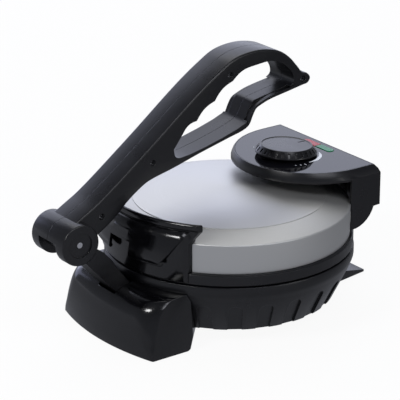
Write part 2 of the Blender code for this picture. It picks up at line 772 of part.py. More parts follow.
def build_base_shell():
    wall = BASE_WALL
    outside = base_outline()
    bore = SHELF_RADIUS - SHELF_WIDTH
    shelf_low = SHELF_Z - wall
    bowl_in = BOWL_TOP_RADIUS - wall
    cover_top = BOWL_BOTTOM_Z + CLEAR + COVER_THICKNESS + CLEAR
    slope = (BOWL_TOP_RADIUS - BOWL_BOTTOM_RADIUS) / (BOWL_TOP_Z - BOWL_BOTTOM_Z)
    cover_bore = BOWL_BOTTOM_RADIUS - wall
    wall_at_ledge = cover_bore + slope * (cover_top + wall - BOWL_BOTTOM_Z)
    inside = [
        (cover_bore, BOWL_BOTTOM_Z),
        (cover_bore, cover_top),
        (cover_bore - COVER_LEDGE, cover_top),
        (cover_bore - COVER_LEDGE, cover_top + wall),
        (wall_at_ledge, cover_top + wall),
        (bowl_in, BOWL_TOP_Z),
        (bowl_in + wall / 2, shelf_low - wall / 2),
        (bore, shelf_low),
        (bore, SHELF_Z),
        (SHELF_RADIUS, SHELF_Z),
        (SHELF_RADIUS, BASE_TOP_Z),
    ]
    shell = revolve("base_shell", outside + inside)
    flutes = []
    for index in range(FIRST_FLUTE, LAST_FLUTE + 1):
        flutes += [flute_cutter(index), flute_cutter(-index)]
    cut(shell, merged("flutes", flutes))
    post = hinge_post()
    join(shell, post, mirrored(post, "hinge_post_left"))
    reach = POST_INNER_X + POST_WIDTH + LUG_WIDTH
    cut(shell, hinge_axis_rod(HINGE_PIN_RADIUS + CLEAR, -reach, reach))
    back = BOWL_TOP_RADIUS + OVERRUN
    cut(shell, rod("gland_hole", GLAND_RADIUS + CLEAR, (0, 0, GLAND_Z), (0, back, GLAND_Z)))
    return finish(shell, "base_shell", satin_black, base)


def build_base_cover():
    """The plate that closes the bowl from below."""
    radius = BOWL_BOTTOM_RADIUS - BASE_WALL - CLEAR
    low = BOWL_BOTTOM_Z + CLEAR
    plate = rod("base_cover", radius, (0, 0, low), (0, 0, low + COVER_THICKNESS), PLATE_SIDE_COUNT)
    return finish(plate, "base_cover", dark_steel, base)


def pedestal_section(half, front_y, sag, corner, rear_half, rear_y):
    """A level section: a shallow arc in front, two round corners and straight sides to the back."""
    radius = (half * half + sag * sag) / (2 * sag)
    centre_y = front_y + radius
    corner_x = half - corner
    corner_y = centre_y - math.sqrt((radius - corner) ** 2 - corner_x ** 2)
    meet = math.atan2(corner_y - centre_y, corner_x)
    steps = PEDESTAL_CORNER_STEPS
    left = arc((-corner_x, corner_y), corner, -math.pi, -math.pi - meet, steps)
    front = arc((0, centre_y), radius, -math.pi - meet, meet, PEDESTAL_FRONT_STEPS)
    right = arc((corner_x, corner_y), corner, meet, 0, steps)
    return left[:-1] + front + right[1:] + [(rear_half, rear_y), (-rear_half, rear_y)]


def pedestal_rings(inset, low_extra=0.0):
    """The pedestal's level sections from its foot to its top edge."""
    top = BAND_Z - CLEAR - inset
    rings = []
    for height, forward, sag_share, corner_share in PEDESTAL_SECTION_SHARES:
        z = PEDESTAL_LIFT + (top - PEDESTAL_LIFT) * height
        spread = PEDESTAL_FOOT_HALF - PEDESTAL_TOP_HALF
        half = PEDESTAL_TOP_HALF + spread * (1 - height) - inset
        front_y = PEDESTAL_TOP_Y + forward * (PEDESTAL_FOOT_Y - PEDESTAL_TOP_Y) + inset
        corner = max(corner_share * PEDESTAL_CORNER - inset, PEDESTAL_WALL / 2)
        tuck = min(1, (z - PEDESTAL_LIFT) / (BOWL_BOTTOM_Z - PEDESTAL_LIFT))
        rear_y = PEDESTAL_REAR_Y + tuck * (PEDESTAL_TUCK_Y - PEDESTAL_REAR_Y) - inset
        rear_half = PEDESTAL_REAR_HALF + tuck * (PEDESTAL_TUCK_HALF - PEDESTAL_REAR_HALF) - inset
        sag = sag_share * PEDESTAL_SAG
        section = pedestal_section(half, front_y, sag, corner, rear_half, rear_y)
        if not rings and low_extra:
            rings.append([(x, y, z - low_extra) for x, y in section])
        rings.append([(x, y, z) for x, y in section])
    return rings


def build_front_pedestal():
    """The moulded stand under the front of the bowl, hollow, with the link's pocket in its top."""
    shell = loft("front_pedestal", pedestal_rings(0))
    cut(shell, revolve("bowl_room", grown_outline(CLEAR)))
    hollow = loft("pedestal_hollow", pedestal_rings(PEDESTAL_WALL, OVERRUN))
    cut(hollow, revolve("bowl_wall", grown_outline(CLEAR + PEDESTAL_WALL)))
    inner = LINK_HALF_WIDTH + CLEAR
    outer = inner + CHEEK_THICKNESS
    low = LINK_PIVOT_Z - CHEEK_DEPTH
    high = BASE_TOP_Z
    front = PEDESTAL_FOOT_Y
    cheek = box("cheek", (inner, front, low), (outer, 0, high))
    cut(hollow, cheek, mirrored(cheek, "cheek_left"))
    cut(shell, hollow)
    slot = box("pocket", (-inner, POCKET_FRONT_Y, LINK_PIVOT_Z - LINK_FOOT_RADIUS), (inner, 0, high))
    cut(shell, slot)
    centre = (LINK_PIVOT_Y, LINK_PIVOT_Z)
    hole = rod("link_bore", LINK_PIN_RADIUS + CLEAR, (-outer - CLEAR, *centre), (outer + CLEAR, *centre))
    cut(shell, hole)
    return finish(shell, "front_pedestal", gloss_black, base)


def build_pedestal_floor():
    """The plate that closes the pedestal from below, with seats for two rubber pads."""
    plate = loft("pedestal_floor", pedestal_rings(PEDESTAL_WALL + 2 * CLEAR))
    wide = PEDESTAL_FOOT_HALF
    high = PEDESTAL_LIFT + FLOOR_THICKNESS
    keep_inside(plate, box("floor_room", (-wide, PEDESTAL_FOOT_Y, 0), (wide, 0, high)))
    for side in (-1, 1):
        place = (side * FRONT_PAD_X, FRONT_PAD_Y)
        top = PEDESTAL_LIFT + PAD_SEAT_DEPTH
        cut(plate, rod("pad_seat", PAD_RADIUS + CLEAR, (*place, -OVERRUN), (*place, top), 20))
    return finish(plate, "pedestal_floor", satin_black, base)


def build_rear_foot():
    """The flat tail under the back of the bowl that steadies the cooker."""
    plan = [
        (-REAR_FOOT_TIP_HALF, REAR_FOOT_REACH),
        (REAR_FOOT_TIP_HALF, REAR_FOOT_REACH),
        (REAR_FOOT_ROOT_HALF, REAR_FOOT_ROOT_Y),
        (-REAR_FOOT_ROOT_HALF, REAR_FOOT_ROOT_Y),
    ]
    corner = 3 * CLEAR
    plan = filleted(plan, [corner, corner, 6 * CLEAR, 6 * CLEAR], 3)
    foot = level_slab("rear_foot", [plan], 0, BOWL_BOTTOM_Z)
    top = BOWL_BOTTOM_Z
    side = [
        (REAR_FOOT_ROOT_Y - OVERRUN, top),
        (REAR_FOOT_ROOT_Y - OVERRUN, top - REAR_FOOT_ROOT_HEIGHT),
        (REAR_FOOT_BEND_Y, PEDESTAL_LIFT),
        (REAR_FOOT_REACH + OVERRUN, PEDESTAL_LIFT),
        (REAR_FOOT_REACH, PEDESTAL_LIFT + REAR_FOOT_TIP_HEIGHT),
        (REAR_FOOT_BEND_Y, top - CLEAR),
        (BOWL_BOTTOM_RADIUS - BASE_WALL, top - CLEAR),
        (BOWL_BOTTOM_RADIUS - BASE_WALL, top),
    ]
    keep_inside(foot, side_slab("foot_side", [side], -REAR_FOOT_ROOT_HALF, REAR_FOOT_ROOT_HALF))
    rim = revolve(
        "rim_room",
        [
            (BOWL_BOTTOM_RADIUS - BASE_WALL - CLEAR, top + CLEAR),
            (BOWL_BOTTOM_RADIUS + OVERRUN, top + CLEAR),
            (BOWL_BOTTOM_RADIUS + OVERRUN, top - CLEAR),
            (BOWL_BOTTOM_RADIUS - BASE_WALL - CLEAR, top - CLEAR),
        ],
    )
    cut(foot, rim)
    for side_sign in (-1, 1):
        place = (side_sign * REAR_PAD_X, REAR_PAD_Y)
        seat = PEDESTAL_LIFT + REAR_PAD_SEAT_DEPTH
        cut(foot, rod("seat", REAR_PAD_RADIUS + CLEAR, (*place, -OVERRUN), (*place, seat), 16))
    return finish(foot, "rear_foot", satin_black, base)


def build_pads():
    top = PEDESTAL_LIFT + PAD_SEAT_DEPTH - CLEAR
    rear_top = PEDESTAL_LIFT + REAR_PAD_SEAT_DEPTH - CLEAR
    for label, side in (("left", -1), ("right", 1)):
        x = side * FRONT_PAD_X
        pad = rod("pad", PAD_RADIUS, (x, FRONT_PAD_Y, 0), (x, FRONT_PAD_Y, top), 20)
        finish(pad, "front_pad_" + label, rubber, base)
        x = side * REAR_PAD_X
        pad = rod("pad", REAR_PAD_RADIUS, (x, REAR_PAD_Y, 0), (x, REAR_PAD_Y, rear_top), 16)
        finish(pad, "rear_pad_" + label, rubber, base)


def build_cord_gland():
    """The rubber bush in the bowl's back wall that the mains cord would pass through."""
    slope = (BOWL_TOP_RADIUS - BOWL_BOTTOM_RADIUS) / (BOWL_TOP_Z - BOWL_BOTTOM_Z)
    wall_y = BOWL_BOTTOM_RADIUS + slope * (GLAND_Z - BOWL_BOTTOM_Z)
    outer = wall_y + slope * GLAND_FLANGE_RADIUS + CLEAR
    inner_end = (0, wall_y - GLAND_INSIDE, GLAND_Z)
    outer_end = (0, outer + GLAND_FLANGE, GLAND_Z)
    bush = rod("gland", GLAND_RADIUS, inner_end, outer_end, 20)
    collar = rod("collar", GLAND_FLANGE_RADIUS, (0, outer, GLAND_Z), outer_end, 20)
    join(bush, collar)
    hole = rod("bore", GLAND_BORE, (0, 0, GLAND_Z), (0, outer + OVERRUN, GLAND_Z))
    cut(bush, hole)
    return finish(bush, "cord_gland", rubber, base)


def build_terminal_block():
    low = BOWL_BOTTOM_Z + CLEAR + COVER_THICKNESS + CLEAR
    half = TERMINAL_LENGTH / 2
    block = box(
        "terminal_block",
        (-half, TERMINAL_Y, low),
        (half, TERMINAL_Y + TERMINAL_WIDTH, low + TERMINAL_HEIGHT),
    )
    return finish(block, "terminal_block", ceramic_white, base, smooth=False)


def plate_posts(z_low, z_high):
    posts = []
    for k in range(3):
        turn = math.pi / 2 + k * 2 * math.pi / 3
        place = (PLATE_POST_CIRCLE * math.cos(turn), PLATE_POST_CIRCLE * math.sin(turn))
        posts.append(rod("post", PLATE_POST_RADIUS, (*place, z_low), (*place, z_high)))
    return posts


def heat_pan(name, flange_z, direction):
    """A thin pressed pan: its flange rests on a ledge and its floor carries the plate's posts."""
    sheet = PAN_SHEET * direction
    depth = PAN_DEPTH * direction
    wall_radius = SHELF_RADIUS - SHELF_WIDTH - CLEAR
    rim = wall_radius + PAN_FLANGE
    profile = [
        (0, flange_z - depth),
        (wall_radius, flange_z - depth),
        (wall_radius, flange_z),
        (rim, flange_z),
        (rim, flange_z + sheet),
        (wall_radius - PAN_SHEET, flange_z + sheet),
        (wall_radius - PAN_SHEET, flange_z - depth + sheet),
        (0, flange_z - depth + sheet),
    ]
    return revolve(name, profile, PLATE_SIDE_COUNT)


def heating_tube(name, height):
    """A ring of sheathed heating tube, broken where its two ends turn away from the plate."""
    curve = bpy.data.curves.new(name, "CURVE")
    curve.dimensions = "3D"
    curve.bevel_depth = ELEMENT_TUBE
    curve.bevel_resolution = 1
    curve.use_fill_caps = True
    spline = curve.splines.new("POLY")
    gap = ELEMENT_GAP_ANGLE
    points = arc((0, 0), ELEMENT_CIRCLE, -math.pi / 2 + gap, 3 * math.pi / 2 - gap, ELEMENT_STEPS)
    spline.points.add(len(points) - 1)
    for point, (x, y) in zip(spline.points, points):
        point.co = (x, y, height, 1)
    return bake(new_object(name, curve))


def build_lower_plates():
    flange_z = SHELF_Z + CLEAR
    pan = heat_pan("lower_heat_shield", flange_z, 1)
    finish(pan, "lower_heat_shield", bare_steel, base)
    floor = flange_z - PAN_DEPTH + PAN_SHEET + CLEAR
    low = LOWER_PLATE_TOP - PLATE_THICKNESS
    plate = rod("plate", PLATE_RADIUS, (0, 0, low), (0, 0, LOWER_PLATE_TOP), PLATE_SIDE_COUNT)
    bevel_where(plate, CLEAR * 3, lambda a, b: a.z > low + CLEAR and b.z > low + CLEAR, 1)
    join(plate, *plate_posts(floor, low + CLEAR))
    finish(plate, "lower_plate", coated_aluminium, base)
    tube = heating_tube("lower_element", low - CLEAR - ELEMENT_TUBE)
    finish(tube, "lower_element", dark_steel, base)


def build_upper_plates():
    ledge = upper_ledge_z()
    pan = heat_pan("upper_heat_shield", ledge - CLEAR, -1)
    finish(pan, "upper_heat_shield", bare_steel, lid)
    ceiling = ledge - CLEAR + PAN_DEPTH - PAN_SHEET - CLEAR
    high = UPPER_PLATE_BOTTOM + PLATE_THICKNESS
    plate = rod("plate", PLATE_RADIUS, (0, 0, UPPER_PLATE_BOTTOM), (0, 0, high), PLATE_SIDE_COUNT)
    bevel_where(plate, CLEAR * 3, lambda a, b: a.z < high - CLEAR and b.z < high - CLEAR, 1)
    join(plate, *plate_posts(high - CLEAR, ceiling))
    finish(plate, "upper_plate", coated_aluminium, lid)
    tube = heating_tube("upper_element", high + CLEAR + ELEMENT_TUBE)
    finish(tube, "upper_element", dark_steel, lid)


def upper_ledge_z():
    """The underside of the lid ring's ledge, where the upper heat shield's flange hangs."""
    return RING_BOTTOM_Z + SHELF_DEPTH


def build_lid_shell():
    outside = lid_outline()
    inside = [(r, z - LID_SHEET) for r, z in outside[:5]]
    bend = LID_EDGE_BEND
    inner_radius = LID_RADIUS - LID_SHEET
    inside += [
        (inner_radius - bend, LID_EDGE_Z + bend / 4 - LID_SHEET),
        (inner_radius, LID_EDGE_Z - bend - LID_SHEET),
        (inner_radius, SKIRT_BOTTOM_Z),
    ]
    shell = revolve("lid_shell", outside + inside[::-1])
    return finish(shell, "lid_shell", brushed_steel, lid)


def build_lid_ring():
    """The black moulded ring under the sheet: it locates the skirt and carries the heat shield."""
    neck = LID_RADIUS - LID_SHEET - CLEAR
    bore = SHELF_RADIUS - SHELF_WIDTH
    ledge = upper_ledge_z()
    top = RING_TOP_Z + RING_NECK_RISE
    edge = 4 * CLEAR
    profile = [
        (neck - RING_LEDGE, top),
        (neck, top),
        (neck, RING_TOP_Z),
        (RING_RADIUS - edge, RING_TOP_Z),
        (RING_RADIUS, RING_TOP_Z - edge),
        (RING_RADIUS, RING_BOTTOM_Z + edge),
        (RING_RADIUS - edge, RING_BOTTOM_Z),
        (SHELF_RADIUS, RING_BOTTOM_Z),
        (SHELF_RADIUS, ledge),
        (bore, ledge),
        (bore, ledge + RING_LEDGE),
        (neck - RING_LEDGE, ledge + RING_LEDGE),
    ]
    ring = revolve("lid_ring", profile)
    return finish(ring, "lid_ring", satin_black, lid)


def awning_surface():
    """The grip's sloping face: an arc on the lid's edge swept down and out to a narrower lip."""
    edit = bmesh.new()
    rows = []
    for share in AWNING_ROW_SHARES:
        bulge = AWNING_BULGE * math.sin(math.pi * share)
        radius = AWNING_TOP_RADIUS + (AWNING_LIP_RADIUS - AWNING_TOP_RADIUS) * share + bulge
        rise = AWNING_TOP_RISE - (AWNING_TOP_RISE + AWNING_LIP_DROP) * share + bulge / 2
        reach = AWNING_TOP_ANGLE + (AWNING_LIP_ANGLE - AWNING_TOP_ANGLE) * share
        row = []
        for column in range(AWNING_COLUMN_COUNT + 1):
            turn = -math.pi / 2 + reach * (2 * column / AWNING_COLUMN_COUNT - 1)
            place = (radius * math.cos(turn), radius * math.sin(turn), LID_EDGE_Z + rise)
            row.append(edit.verts.new(place))
        rows.append(row)
    for upper, lower in zip(rows, rows[1:]):
        for i in range(AWNING_COLUMN_COUNT):
            edit.faces.new((upper[i], upper[i + 1], lower[i + 1], lower[i]))
    bmesh.ops.triangulate(edit, faces=edit.faces)
    bmesh.ops.recalc_face_normals(edit, faces=edit.faces)
    mesh = bpy.data.meshes.new("awning")
    edit.to_mesh(mesh)
    edit.free()
    obj = new_object("awning", mesh)
    thick = obj.modifiers.new("thickness", "SOLIDIFY")
    thick.thickness = AWNING_THICKNESS
    thick.offset = 0
    return bake(obj)


def grip_bead():
    """The rounded roll that stands on the lid's rim, with ends that taper down to the wall."""
    top = LID_EDGE_Z + BEAD_RISE
    turn = BEAD_ROUND
    roll = revolve(
        "bead",
        [
            (BEAD_INNER_RADIUS, LID_EDGE_Z),
            (BEAD_INNER_RADIUS, top - turn),
            (BEAD_INNER_RADIUS + 0.3 * turn, top - 0.3 * turn),
            (BEAD_INNER_RADIUS + turn, top),
            (BEAD_RADIUS - turn, top),
            (BEAD_RADIUS - 0.3 * turn, top - 0.3 * turn),
            (BEAD_RADIUS, top - turn),
            (BEAD_RADIUS, LID_EDGE_Z + BEAD_WAIST_RISE + turn / 3),
            (AWNING_TOP_RADIUS + CLEAR, LID_EDGE_Z + BEAD_WAIST_RISE - turn / 3),
            (AWNING_TOP_RADIUS + CLEAR, LID_EDGE_Z),
        ],
    )
    foot, end = GRIP_HALF_WIDTH, BEAD_HALF_WIDTH
    low = LID_EDGE_Z - OVERRUN
    face = filleted(
        [(-foot, low), (foot, low), (foot, LID_EDGE_Z), (end, LID_EDGE_Z + BEAD_END_RISE), (end, top),
         (-end, top), (-end, LID_EDGE_Z + BEAD_END_RISE), (-foot, LID_EDGE_Z)],
        [0, 0, 0, BEAD_END_ROUND / 2, BEAD_END_ROUND, BEAD_END_ROUND, BEAD_END_ROUND / 2, 0],
    )
    room = slab("bead_room", [face], LID_RADIUS)
    stand = Matrix.Rotation(math.pi / 2, 4, "X")
    room.data.transform(Matrix.Translation((0, -LID_RADIUS, 0)) @ stand)
    return keep_inside(roll, room)


def grip_wall():
    """The upright wall in front of the lid's skirt, with chamfered ends."""
    low = RING_BOTTOM_Z + GRIP_WALL_DROP
    high = LID_EDGE_Z + AWNING_TOP_RISE - AWNING_THICKNESS
    wall = revolve(
        "wall",
        [
            (LID_RADIUS - BASE_WALL, low),
            (GRIP_WALL_RADIUS - CLEAR * 3, low),
            (GRIP_WALL_RADIUS, low + CLEAR * 3),
            (GRIP_WALL_RADIUS, LID_EDGE_Z - GRIP_BEND_DROP),
            (AWNING_TOP_RADIUS + AWNING_THICKNESS / 2, high),
            (LID_RADIUS - BASE_WALL, high),
        ],
    )
    half = GRIP_HALF_WIDTH
    front = GRIP_CORNER_Y - GRIP_CHAMFER_Y
    far = -AWNING_LIP_RADIUS
    near = half - GRIP_CHAMFER_X
    plan = [(half, 0), (-half, 0), (-half, GRIP_CORNER_Y), (-near, front), (-near, far), (near, far),
            (near, front), (half, GRIP_CORNER_Y)]
    return keep_inside(wall, level_slab("wall_room", [plan], 0, DECK_TOP_Z))


def build_lid_grip():
    """The moulded grip on the lid's front edge: roll, sloping awning, wall and notch."""
    grip = join(grip_bead(), grip_wall())
    front = -AWNING_LIP_RADIUS - OVERRUN
    notch_half = NOTCH_HALF_WIDTH
    notch_top = LID_EDGE_Z - NOTCH_TOP_DROP
    awning = awning_surface()
    cut(
        awning,
        box("notch", (-notch_half, front, 0), (notch_half, -GRIP_WALL_RADIUS, notch_top)),
    )
    join(grip, awning)
    face_y = -STRIKER_FACE_RADIUS
    low = notch_top + STRIKER_PROUD
    corner = STRIKER_CORNER
    half = STRIKER_HALF_WIDTH
    face = filleted(
        [(-half, low), (half, low), (half, low + STRIKER_HEIGHT), (-half, low + STRIKER_HEIGHT)], corner
    )
    striker = slab("striker", [face], 4 * STRIKER_PROUD)
    stand = Matrix.Rotation(math.pi / 2, 4, "X")
    striker.data.transform(Matrix.Translation((0, face_y - 2 * STRIKER_PROUD, 0)) @ stand)
    join(grip, striker)
    cut(grip, lid_plug(CLEAR))
    return finish(grip, "lid_grip", gloss_black, lid)


def deck_outline(half, front_y, rear_y):
    """A D: a half round in front and straight sides to a flat back."""
    centre = (0, front_y + half)
    return arc(centre, half, math.pi, 2 * math.pi, DECK_ARC_STEPS) + [(half, rear_y), (-half, rear_y)]


def deck_rings():
    rings = []
    lip = 3 * CLEAR
    levels = (
        (DECK_LIP_Z, 1, lip),
        (DECK_LIP_Z + lip, 1, 0),
        (DECK_WIDE_Z, 1, 0),
        (DECK_SHOULDER_Z, DECK_SHOULDER_SHARE, 0),
        (DECK_TOP_Z, 0, 0),
    )
    for z, share, inset in levels:
        half = DECK_TOP_HALF + share * (DECK_HALF - DECK_TOP_HALF) - inset
        front_y = DECK_TOP_FRONT_Y + share * (DECK_FRONT_Y - DECK_TOP_FRONT_Y) + inset
        rear_y = DECK_TOP_REAR_Y + share * (DECK_REAR_Y - DECK_TOP_REAR_Y)
        rings.append([(x, y, z) for x, y in deck_outline(half, front_y, rear_y)])
    return rings


def build_control_housing():
    """The cover over the thermostat: a D-shaped deck, a neck on the lid and a skirt with two ears."""
    housing = loft("control_housing", deck_rings())
    ear_start = math.asin((EAR_STEP_Z - EAR_CENTRE_Z) / EAR_RADIUS)
    ear = arc((EAR_CENTRE_Y, EAR_CENTRE_Z), EAR_RADIUS, ear_start, -math.pi / 2, EAR_STEPS)
    side = [
        (EAR_FRONT_Y, DECK_WIDE_Z),
        (DECK_REAR_Y, DECK_WIDE_Z),
        (DECK_REAR_Y, EAR_STEP_Z + CLEAR),
        (EAR_STEP_Y, EAR_STEP_Z),
    ] + ear + [(EAR_FRONT_Y, EAR_CENTRE_Z - EAR_RADIUS)]
    skirt = side_slab("skirt", [side], -DECK_HALF, DECK_HALF)
    inner = DECK_HALF - HOUSING_WALL
    room = box(
        "skirt_room",
        (-inner, 0, 0),
        (inner, DECK_REAR_Y - HOUSING_WALL, DECK_LIP_Z + HOUSING_WALL),
    )
    cut(skirt, room)
    below_wall = box("below_wall", (-inner, 0, 0), (inner, DECK_REAR_Y + OVERRUN, EAR_STEP_Z))
    cut(skirt, below_wall)
    join(housing, skirt)
    neck = rod("neck", NECK_RADIUS, (0, NECK_Y, LID_EDGE_Z), (0, NECK_Y, DECK_WIDE_Z), 48)
    behind = box("behind", (-inner, EAR_FRONT_Y, 0), (inner, DECK_REAR_Y, DECK_LIP_Z))
    cut(neck, behind)
    join(housing, neck)
    lug = hinge_lug()
    join(housing, lug, mirrored(lug, "lug_left"))
    cut(housing, lid_plug(CLEAR))
    top_room = deck_outline(
        DECK_TOP_HALF - PANEL_MARGIN, DECK_TOP_FRONT_Y + PANEL_MARGIN, DECK_TOP_REAR_Y - PANEL_MARGIN
    )
    cut(housing, level_slab("panel_seat", [top_room], PANEL_SEAT_Z, DECK_TOP_Z + OVERRUN))
    well = rod(
        "well", NECK_RADIUS - HOUSING_WALL, (0, NECK_Y, DOME_Z + NECK_FLOOR + CLEAR),
        (0, NECK_Y, DECK_TOP_Z), 40,
    )
    back_low, back_high = (-inner, EAR_FRONT_Y + OVERRUN, 0), (inner, 2 * DECK_REAR_Y, 2 * DECK_TOP_Z)
    cut(well, box("well_back", back_low, back_high))
    cut(housing, well)
    half = LENS_HALF_LENGTH + CLEAR
    wide = LENS_HALF_WIDTH
    pocket = box(
        "lamp_pocket",
        (-half, LENS_Y - wide, PANEL_SEAT_Z - LAMP_POCKET),
        (half, LENS_Y + wide, DECK_TOP_Z),
    )
    cut(housing, pocket)
    reach = POST_INNER_X + POST_WIDTH + LUG_WIDTH + OVERRUN
    cut(housing, hinge_axis_rod(HINGE_PIN_RADIUS + CLEAR, -reach, reach))
    return finish(housing, "control_housing", satin_black, lid)


def hinge_lug():
    """One of the housing's two hinge lugs, beside the base's posts."""
    knuckle = arc((HINGE_Y, HINGE_Z), KNUCKLE_RADIUS, math.pi, 2 * math.pi, 10)
    inner_y = HINGE_Y - KNUCKLE_RADIUS
    outline = knuckle + [
        (HINGE_Y + KNUCKLE_RADIUS, EAR_STEP_Z),
        (DECK_REAR_Y - CLEAR, EAR_STEP_Z + KNUCKLE_RADIUS),
        (DECK_REAR_Y - CLEAR, DECK_LIP_Z + CLEAR),
        (inner_y, DECK_LIP_Z + CLEAR),
    ]
    low = POST_INNER_X + POST_WIDTH + CLEAR
    return side_slab("hinge_lug", [outline], low, low + LUG_WIDTH)


def build_hinge_pins():
    inner = POST_INNER_X
    outer = POST_INNER_X + POST_WIDTH + CLEAR + LUG_WIDTH
    for label, side in (("left", -1), ("right", 1)):
        pin = hinge_axis_rod(HINGE_PIN_RADIUS, side * inner, side * outer)
        finish(pin, "hinge_pin_" + label, bare_steel, lid)


def capsule(half_length, half_width, y, low_x=None):
    """A capsule outline, or its right half from low_x."""
    centre = half_length - half_width
    right = arc((centre, y), half_width, -math.pi / 2, math.pi / 2, 8)
    if low_x is not None:
        return [(low_x, y - half_width)] + right + [(low_x, y + half_width)]
    left = arc((-centre, y), half_width, math.pi / 2, 3 * math.pi / 2, 8)
    return right + left


def build_control_panel():
    inset = PANEL_MARGIN + CLEAR
    outline = deck_outline(
        DECK_TOP_HALF - inset, DECK_TOP_FRONT_Y + inset, DECK_TOP_REAR_Y - inset
    )
    low = PANEL_SEAT_Z + CLEAR
    panel = level_slab("control_panel", [outline], low, low + PANEL_THICKNESS)
    window = capsule(LENS_HALF_LENGTH + CLEAR, LENS_HALF_WIDTH + CLEAR, LENS_Y)
    cut(panel, level_slab("window", [window], low - OVERRUN, low + OVERRUN))
    cut(panel, rod("hole", SHAFT_HOLE, (0, KNOB_Y, low - OVERRUN), (0, KNOB_Y, low + OVERRUN), 20))
    return finish(panel, "control_panel", panel_grey, lid)


def build_indicators():
    low = PANEL_SEAT_Z + CLEAR
    high = low + PANEL_THICKNESS + LENS_PROUD
    half = capsule(LENS_HALF_LENGTH, LENS_HALF_WIDTH, LENS_Y, CLEAR / 2)
    green = level_slab("lens", [half], low, high)
    bevel_where(green, CLEAR, lambda a, b: a.z > high - CLEAR / 2 and b.z > high - CLEAR / 2, 1)
    red = mirrored(green, "lens_red")
    finish(green, "indicator_green", lens_green, lid)
    finish(red, "indicator_red", lens_red, lid)
    centre_z = PANEL_SEAT_Z - LAMP_POCKET + CLEAR + LAMP_RADIUS
    for name, side in (("lamp_red", -1), ("lamp_green", 1)):
        start = side * (LENS_HALF_LENGTH - LAMP_LENGTH) / 2
        end = start + side * LAMP_LENGTH
        lamp = rod(name, LAMP_RADIUS, (start, LENS_Y, centre_z), (end, LENS_Y, centre_z))
        finish(lamp, name, lamp_glass, lid)


def build_thermostat():
    floor = DOME_Z + NECK_FLOOR + CLEAR + CLEAR
    body = rod(
        "thermostat", THERMOSTAT_RADIUS, (0, KNOB_Y, floor), (0, KNOB_Y, floor + THERMOSTAT_HEIGHT), 24
    )
    finish(body, "thermostat_body", ceramic_white, lid)
    return floor + THERMOSTAT_HEIGHT


def on_knob_axis(obj):
    """Moves a piece turned about z to the leaning axis of the knob."""
    place = Matrix.Translation((0, KNOB_Y, DECK_TOP_Z))
    obj.data.transform(place @ Matrix.Rotation(-KNOB_LEAN, 4, "X"))
    return obj


def build_knob(thermostat_top):
    """The fluted thermostat knob with a raised pointer, on its own leaning shaft."""
    low, high = KNOB_LIFT, KNOB_LIFT + KNOB_HEIGHT
    hub = SHAFT_COLLAR
    hollow = high - KNOB_WALL
    edge = 2 * CLEAR
    profile = [
        (0, high - edge),
        (KNOB_TOP_RADIUS - 4 * edge, high - edge),
        (KNOB_TOP_RADIUS - 2 * edge, high),
        (KNOB_TOP_RADIUS, high - edge),
        (KNOB_RADIUS - edge, low + KNOB_BAND),
        (KNOB_RADIUS, low + KNOB_BAND / 2),
        (KNOB_RADIUS - edge, low),
        (KNOB_TOP_RADIUS - KNOB_WALL, low),
        (KNOB_TOP_RADIUS - KNOB_WALL, hollow),
        (hub, hollow),
        (hub, low),
        (SHAFT_RADIUS + CLEAR, low),
        (SHAFT_RADIUS + CLEAR, hollow),
        (0, hollow),
    ]
    knob = revolve("knob", profile, KNOB_SIDE_COUNT)
    slots = []
    run = KNOB_RADIUS - KNOB_TOP_RADIUS
    rise = high - low - KNOB_BAND
    lean = math.atan2(run, rise)
    for k in range(KNOB_SLOT_COUNT):
        slot = box(
            "slot",
            (-KNOB_SLOT_WIDTH / 2, -OVERRUN, 0),
            (KNOB_SLOT_WIDTH / 2, KNOB_SLOT_DEPTH, 0.8 * rise),
        )
        base_place = Matrix.Translation((0, -KNOB_RADIUS, low + KNOB_BAND))
        turn = Matrix.Rotation((k + 0.5) * 2 * math.pi / KNOB_SLOT_COUNT, 4, "Z")
        slot.data.transform(turn @ base_place @ Matrix.Rotation(-lean, 4, "X"))
        slots.append(slot)
    cut(knob, merged("knob_slots", slots))
    pointer_far = KNOB_TOP_RADIUS - 5 * edge
    groove = box(
        "pointer",
        (-POINTER_WIDTH / 2, pointer_far - POINTER_LENGTH, high - 2 * edge),
        (POINTER_WIDTH / 2, pointer_far, high + OVERRUN),
    )
    cut(knob, groove)
    finish(on_knob_axis(knob), "knob", satin_black, knob_turn)
    foot = (thermostat_top + CLEAR - DECK_TOP_Z) / math.cos(KNOB_LEAN) + CLEAR
    shaft = rod("shaft", SHAFT_RADIUS, (0, 0, foot), (0, 0, hollow - CLEAR))
    finish(on_knob_axis(shaft), "thermostat_shaft", bare_steel, knob_turn)


def drum_point(y_share, z_share):
    return (DRUM_Y + y_share * LEVER_LENGTH, DRUM_Z + z_share * LEVER_LENGTH)


def lever_outline():
    """The lever's side view: the drum's tangent, the arm, the arch, the tip and the underside."""
    points = [drum_point(y, z) for y, z in LEVER_TOP_SHARES + LEVER_UNDERSIDE_SHARES]
    return points


def grooves():
    """The four finger grooves: arcs between cusps on the loop's upper side."""
    made = []
    cusps = [Vector(drum_point(y, z)) for y, z in GROOVE_CUSPS_SHARES]
    for start, end in zip(cusps, cusps[1:]):
        along = end - start
        up = Vector((along.y, -along.x)).normalized() * GROOVE_RISE
        for k in range(GROOVE_STEPS):
            share = k / GROOVE_STEPS
            made.append(tuple(start + along * share + up * math.sin(math.pi * share)))
    made.append(tuple(cusps[-1]))
    return made


def loop_outline():
    bar = [drum_point(y, z) for y, z in LOOP_BAR_SIDE_SHARES]
    tip = [drum_point(y, z) for y, z in LOOP_TIP_SHARES]
    return bar + tip + grooves()


def drum_rod(radius, x_low, x_high, facets=DRUM_SIDE_COUNT):
    return rod("drum_rod", radius, (x_low, DRUM_Y, DRUM_Z), (x_high, DRUM_Y, DRUM_Z), facets)


